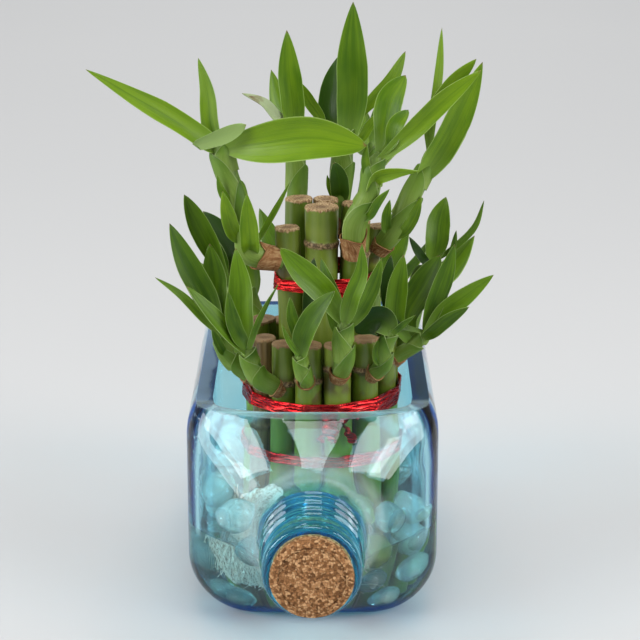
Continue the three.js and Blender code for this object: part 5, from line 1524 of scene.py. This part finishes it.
knot = {
    "x": 12.6, "y": -66.7, "z": 81.4, "sides": 10, "folds": 5, "foldSteps": 14, "long": 8.6, "wide": 1.3,
    "tails": 4, "tailSteps": 18, "drop": 12.5, "spread": 11, "tailWide": 1.7, "crumple": (1.6, 1.2, 2.5),
}


def foldKnot(draw):  # the twisted crossing of the lower tie's ends
    folds = []
    for k in range(knot["folds"]):
        tilt = draw.uniform(-0.35, 0.35)
        rings = []
        for step in range(knot["foldSteps"] + 1):
            t = step / knot["foldSteps"] - 0.5
            width = knot["wide"] * (1 - (2 * t) ** 4 * 0.75)
            centre = Vector((
                knot["x"] + knot["long"] * t,
                knot["y"] - 0.5 * math.cos(3 * t) + 0.2 * k,
                knot["z"] + tilt * knot["long"] * t + draw.uniform(-0.25, 0.25) + (k - 2) * 0.5,
            ))
            rings.append([(centre + Vector((0, 0.35 * math.cos(a), width * 0.8 * math.sin(a + 2 * t)))) * mm
                          for a in turns(knot["sides"])])
        folds.append(skinRings("fold", rings))
    return folds


def hangTails(draw):  # the loose ends hang behind the glass, crumpled
    sideways, outwards, twist = knot["crumple"]
    thickness = Vector((0, 0.25, 0.15))
    tails = []
    for k in range(knot["tails"]):
        lean = draw.uniform(-0.75, 0.75)
        rings = []
        for step in range(knot["tailSteps"] + 1):
            t = step / knot["tailSteps"]
            crumple = noise.noise_vector(Vector((t * 5, k * 3.1, 0)))
            centre = Vector((
                knot["x"] - 3 + lean * knot["spread"] * t + sideways * crumple.x,
                knot["y"] + outwards * crumple.y + 0.3 * k,
                knot["z"] - knot["drop"] * t,
            ))
            turn = twist * crumple.z + k
            flat = Vector((math.cos(turn), math.sin(turn), 0.3)) * knot["tailWide"]
            rings.append([(centre + flat * math.cos(a) + thickness * math.sin(a)) * mm
                          for a in turns(knot["sides"])])
        tails.append(skinRings("tail", rings))
    return tails


def tieCanes():
    foil = foilFinish()
    draw = random.Random(ribbon["seed"])
    for name, tie in ties.items():
        bands = [wrapStrand(tie, strand, draw) for strand in range(ribbon["strands"])]
        if name == "lower_tie":
            bands += foldKnot(draw) + hangTails(draw)
        band = joinAll(bands, name.replace("_t", "T"))
        band.data.materials.append(foil)
        smooth(band, 35)
        finishPiece(band, "foil", name)


tieCanes()
print("ties wrapped")


# Roots

rootFan = {
    "strands": 360, "winding": 150, "left": -64, "right": 12, "crown": 33.5, "foot": 41, "topZ": 48.5,
    "footZ": 18, "thick": 3.2, "massSteps": 44, "massSides": 28, "steps": 14, "sides": 5, "seed": 21,
    "strandRadius": (0.13, 0.32), "thinning": 0.55, "wander": 0.7,
}


def feltReach(degrees, z):  # how far out the matted mass swells
    drop = (rootFan["topZ"] - z) / (rootFan["topZ"] - rootFan["footZ"])
    lump = noise.noise(Vector((degrees * 0.09, z * 0.16, 3.7)))
    return lerp(rootFan["crown"] + 1, rootFan["foot"], min(max(drop, 0), 1) ** 0.7) + 1.3 * lump


def mattedMass():
    rings = []
    high = (rootFan["topZ"] - rootFan["footZ"]) / 2
    for step in range(rootFan["massSteps"] + 1):
        share = step / rootFan["massSteps"]
        degrees = lerp(rootFan["left"], rootFan["right"], share)
        swell = math.sqrt(max(0.02, 1 - (2 * share - 1) ** 6))
        lump = 2 * noise.noise(Vector((share * 9, 0, 0)))
        middle = rootFan["footZ"] + high - 5 * (2 * share - 1) ** 2 + lump
        ring = []
        for turn in turns(rootFan["massSides"]):
            z = middle + high * swell * math.sin(turn)
            out = feltReach(degrees, z) + rootFan["thick"] * swell * (math.cos(turn) - 1)
            ring.append(roundBundle(degrees, out, z) * mm)
        rings.append(ring)
    return skinRings("mattedMass", rings)


def rootPath(draw, degrees):
    low = rootFan["footZ"] + draw.uniform(-1, 9)
    top = rootFan["topZ"] - 2 - 14 * draw.random()
    lean = draw.uniform(-9, 9)
    path = []
    for k in range(4):
        z = lerp(top, low, k / 3)
        at = degrees * (1 + 0.02 * k) + lean * k / 3 + draw.uniform(-3, 3)
        path.append(roundBundle(at, feltReach(at, z) + draw.uniform(-0.6, 0.9), z))
    return path


def windingPath(draw, degrees):  # round the mass, with a tail that sinks
    sweep = draw.choice((-1, 1)) * draw.uniform(14, 34)
    height = rootFan["topZ"] - draw.uniform(2, 26)
    path = []
    for k in range(4):
        at = degrees + sweep * k / 3
        path.append(roundBundle(at, feltReach(at, height) + draw.uniform(-0.3, 0.9), height - 0.9 * k * k))
    return path


def straightStrand():  # one unit in radius and in length, to be bent along every root
    rings = []
    for step in range(rootFan["steps"] + 1):
        z = step / rootFan["steps"]
        rings.append([Vector((math.cos(a), math.sin(a), z)) for a in turns(rootFan["sides"])])
    return skinRings("strand", rings)


def growRoots():
    draw = random.Random(rootFan["seed"])
    straight = straightStrand()
    strands = [mattedMass()]
    for k in range(rootFan["strands"] + rootFan["winding"]):
        degrees = draw.uniform(rootFan["left"], rootFan["right"])
        winding = k >= rootFan["strands"]
        points = windingPath(draw, degrees * 0.7) if winding else rootPath(draw, degrees)
        thick = draw.uniform(*rootFan["strandRadius"])
        wander = Vector((draw.random(), draw.random(), draw.random())) * 30
        middles = []
        for step in range(rootFan["steps"] + 1):
            t = step / rootFan["steps"]
            aside = noise.noise_vector(Vector((t * 5, 0, 0)) + wander)
            middles.append(splinePoint(points, t) + rootFan["wander"] * aside)
        strand = copyOf(straight)
        for vertex in strand.data.vertices:
            radius = thick * (1 - rootFan["thinning"] * vertex.co.z)
            middle = middles[round(vertex.co.z * rootFan["steps"])]
            across = Vector((vertex.co.x, vertex.co.y * 0.7, vertex.co.y * 0.7))
            vertex.co = (middle + across * radius) * mm
        strands.append(strand)
    bpy.data.objects.remove(straight)
    mass = joinAll(strands, "creamRoots")
    mass.data.materials.append(rootFinish())
    smooth(mass, 60)
    finishPiece(mass, "root", "roots")


growRoots()
print("roots grown")


# Floor, light and camera

stage = {"side": 9.0, "color": (0.518, 0.521, 0.523), "world": 0.31, "sky": (0.97, 0.985, 1.0, 1)}


def layFloor():
    bpy.ops.object.select_all(action="DESELECT")
    bpy.ops.mesh.primitive_plane_add(size=stage["side"])
    floor = bpy.context.view_layer.objects.active
    floor.name = "paleFloor"
    finish = Finish("paleFloor", {"Roughness": 0.55, "Specular IOR Level": 0.25})
    mottle = finish.grain(finish.place(), 3, 2)
    finish.color(finish.mix(mottle, stage["color"], tuple(c * 1.02 for c in stage["color"])))
    floor.data.materials.append(finish.material)


lamps = (  # where each stands, its width and its watts
    {"name": "keyLamp", "at": (-1.2, -0.66, 0.72), "size": 0.8, "power": 15.0},
    {"name": "sideLamp", "at": (-1.3, -0.3, 0.26), "size": 0.55, "power": 5.0},
    {"name": "rightLamp", "at": (1.25, -0.52, 0.42), "size": 0.5, "power": 5.0},
    {"name": "fillLamp", "at": (1.05, -0.62, 0.8), "size": 0.75, "power": 10.0},
    {"name": "topLamp", "at": (0.03, -0.3, 1.5), "size": 0.65, "power": 7.0},
    {"name": "backLamp", "at": (0, 1.9, 2.0), "size": 2.0, "power": 43.0, "aim": (0, 2.1, 0)},
)
target = Vector((0, -0.03, 0.1))


def lightStage():
    for lamp in lamps:
        data = bpy.data.lights.new(lamp["name"], "AREA")
        data.size = lamp["size"]
        data.energy = lamp["power"]
        light = addObject(lamp["name"], data)
        light.location = lamp["at"]
        aim = Vector(lamp.get("aim", target)) - light.location
        light.rotation_euler = aim.to_track_quat("-Z", "Y").to_euler()
    world = bpy.data.worlds.new("softStudio")
    bpy.context.scene.world = world
    world.use_nodes = True
    background = world.node_tree.nodes["Background"]
    background.inputs["Color"].default_value = stage["sky"]
    background.inputs["Strength"].default_value = stage["world"]
    bpy.context.scene.view_settings.view_transform = "Standard"
    cycles = bpy.context.scene.cycles  # thick glass sends light round many times
    cycles.max_bounces = cycles.transmission_bounces = 20
    cycles.glossy_bounces = 16


camera = {"at": (0.0028, -0.7916, 0.3328), "pitch": 16.5, "lens": 115.3, "sensor": 36}


def placeCamera():
    data = bpy.data.cameras.new("camera")
    data.lens = camera["lens"]
    data.sensor_width = camera["sensor"]
    body = addObject("camera", data)
    body.location = camera["at"]
    body.rotation_euler = (math.radians(90 - camera["pitch"]), 0, 0)
    bpy.context.scene.camera = body


layFloor()
lightStage()
placeCamera()
bpy.ops.object.select_all(action="DESELECT")
print("stage set")
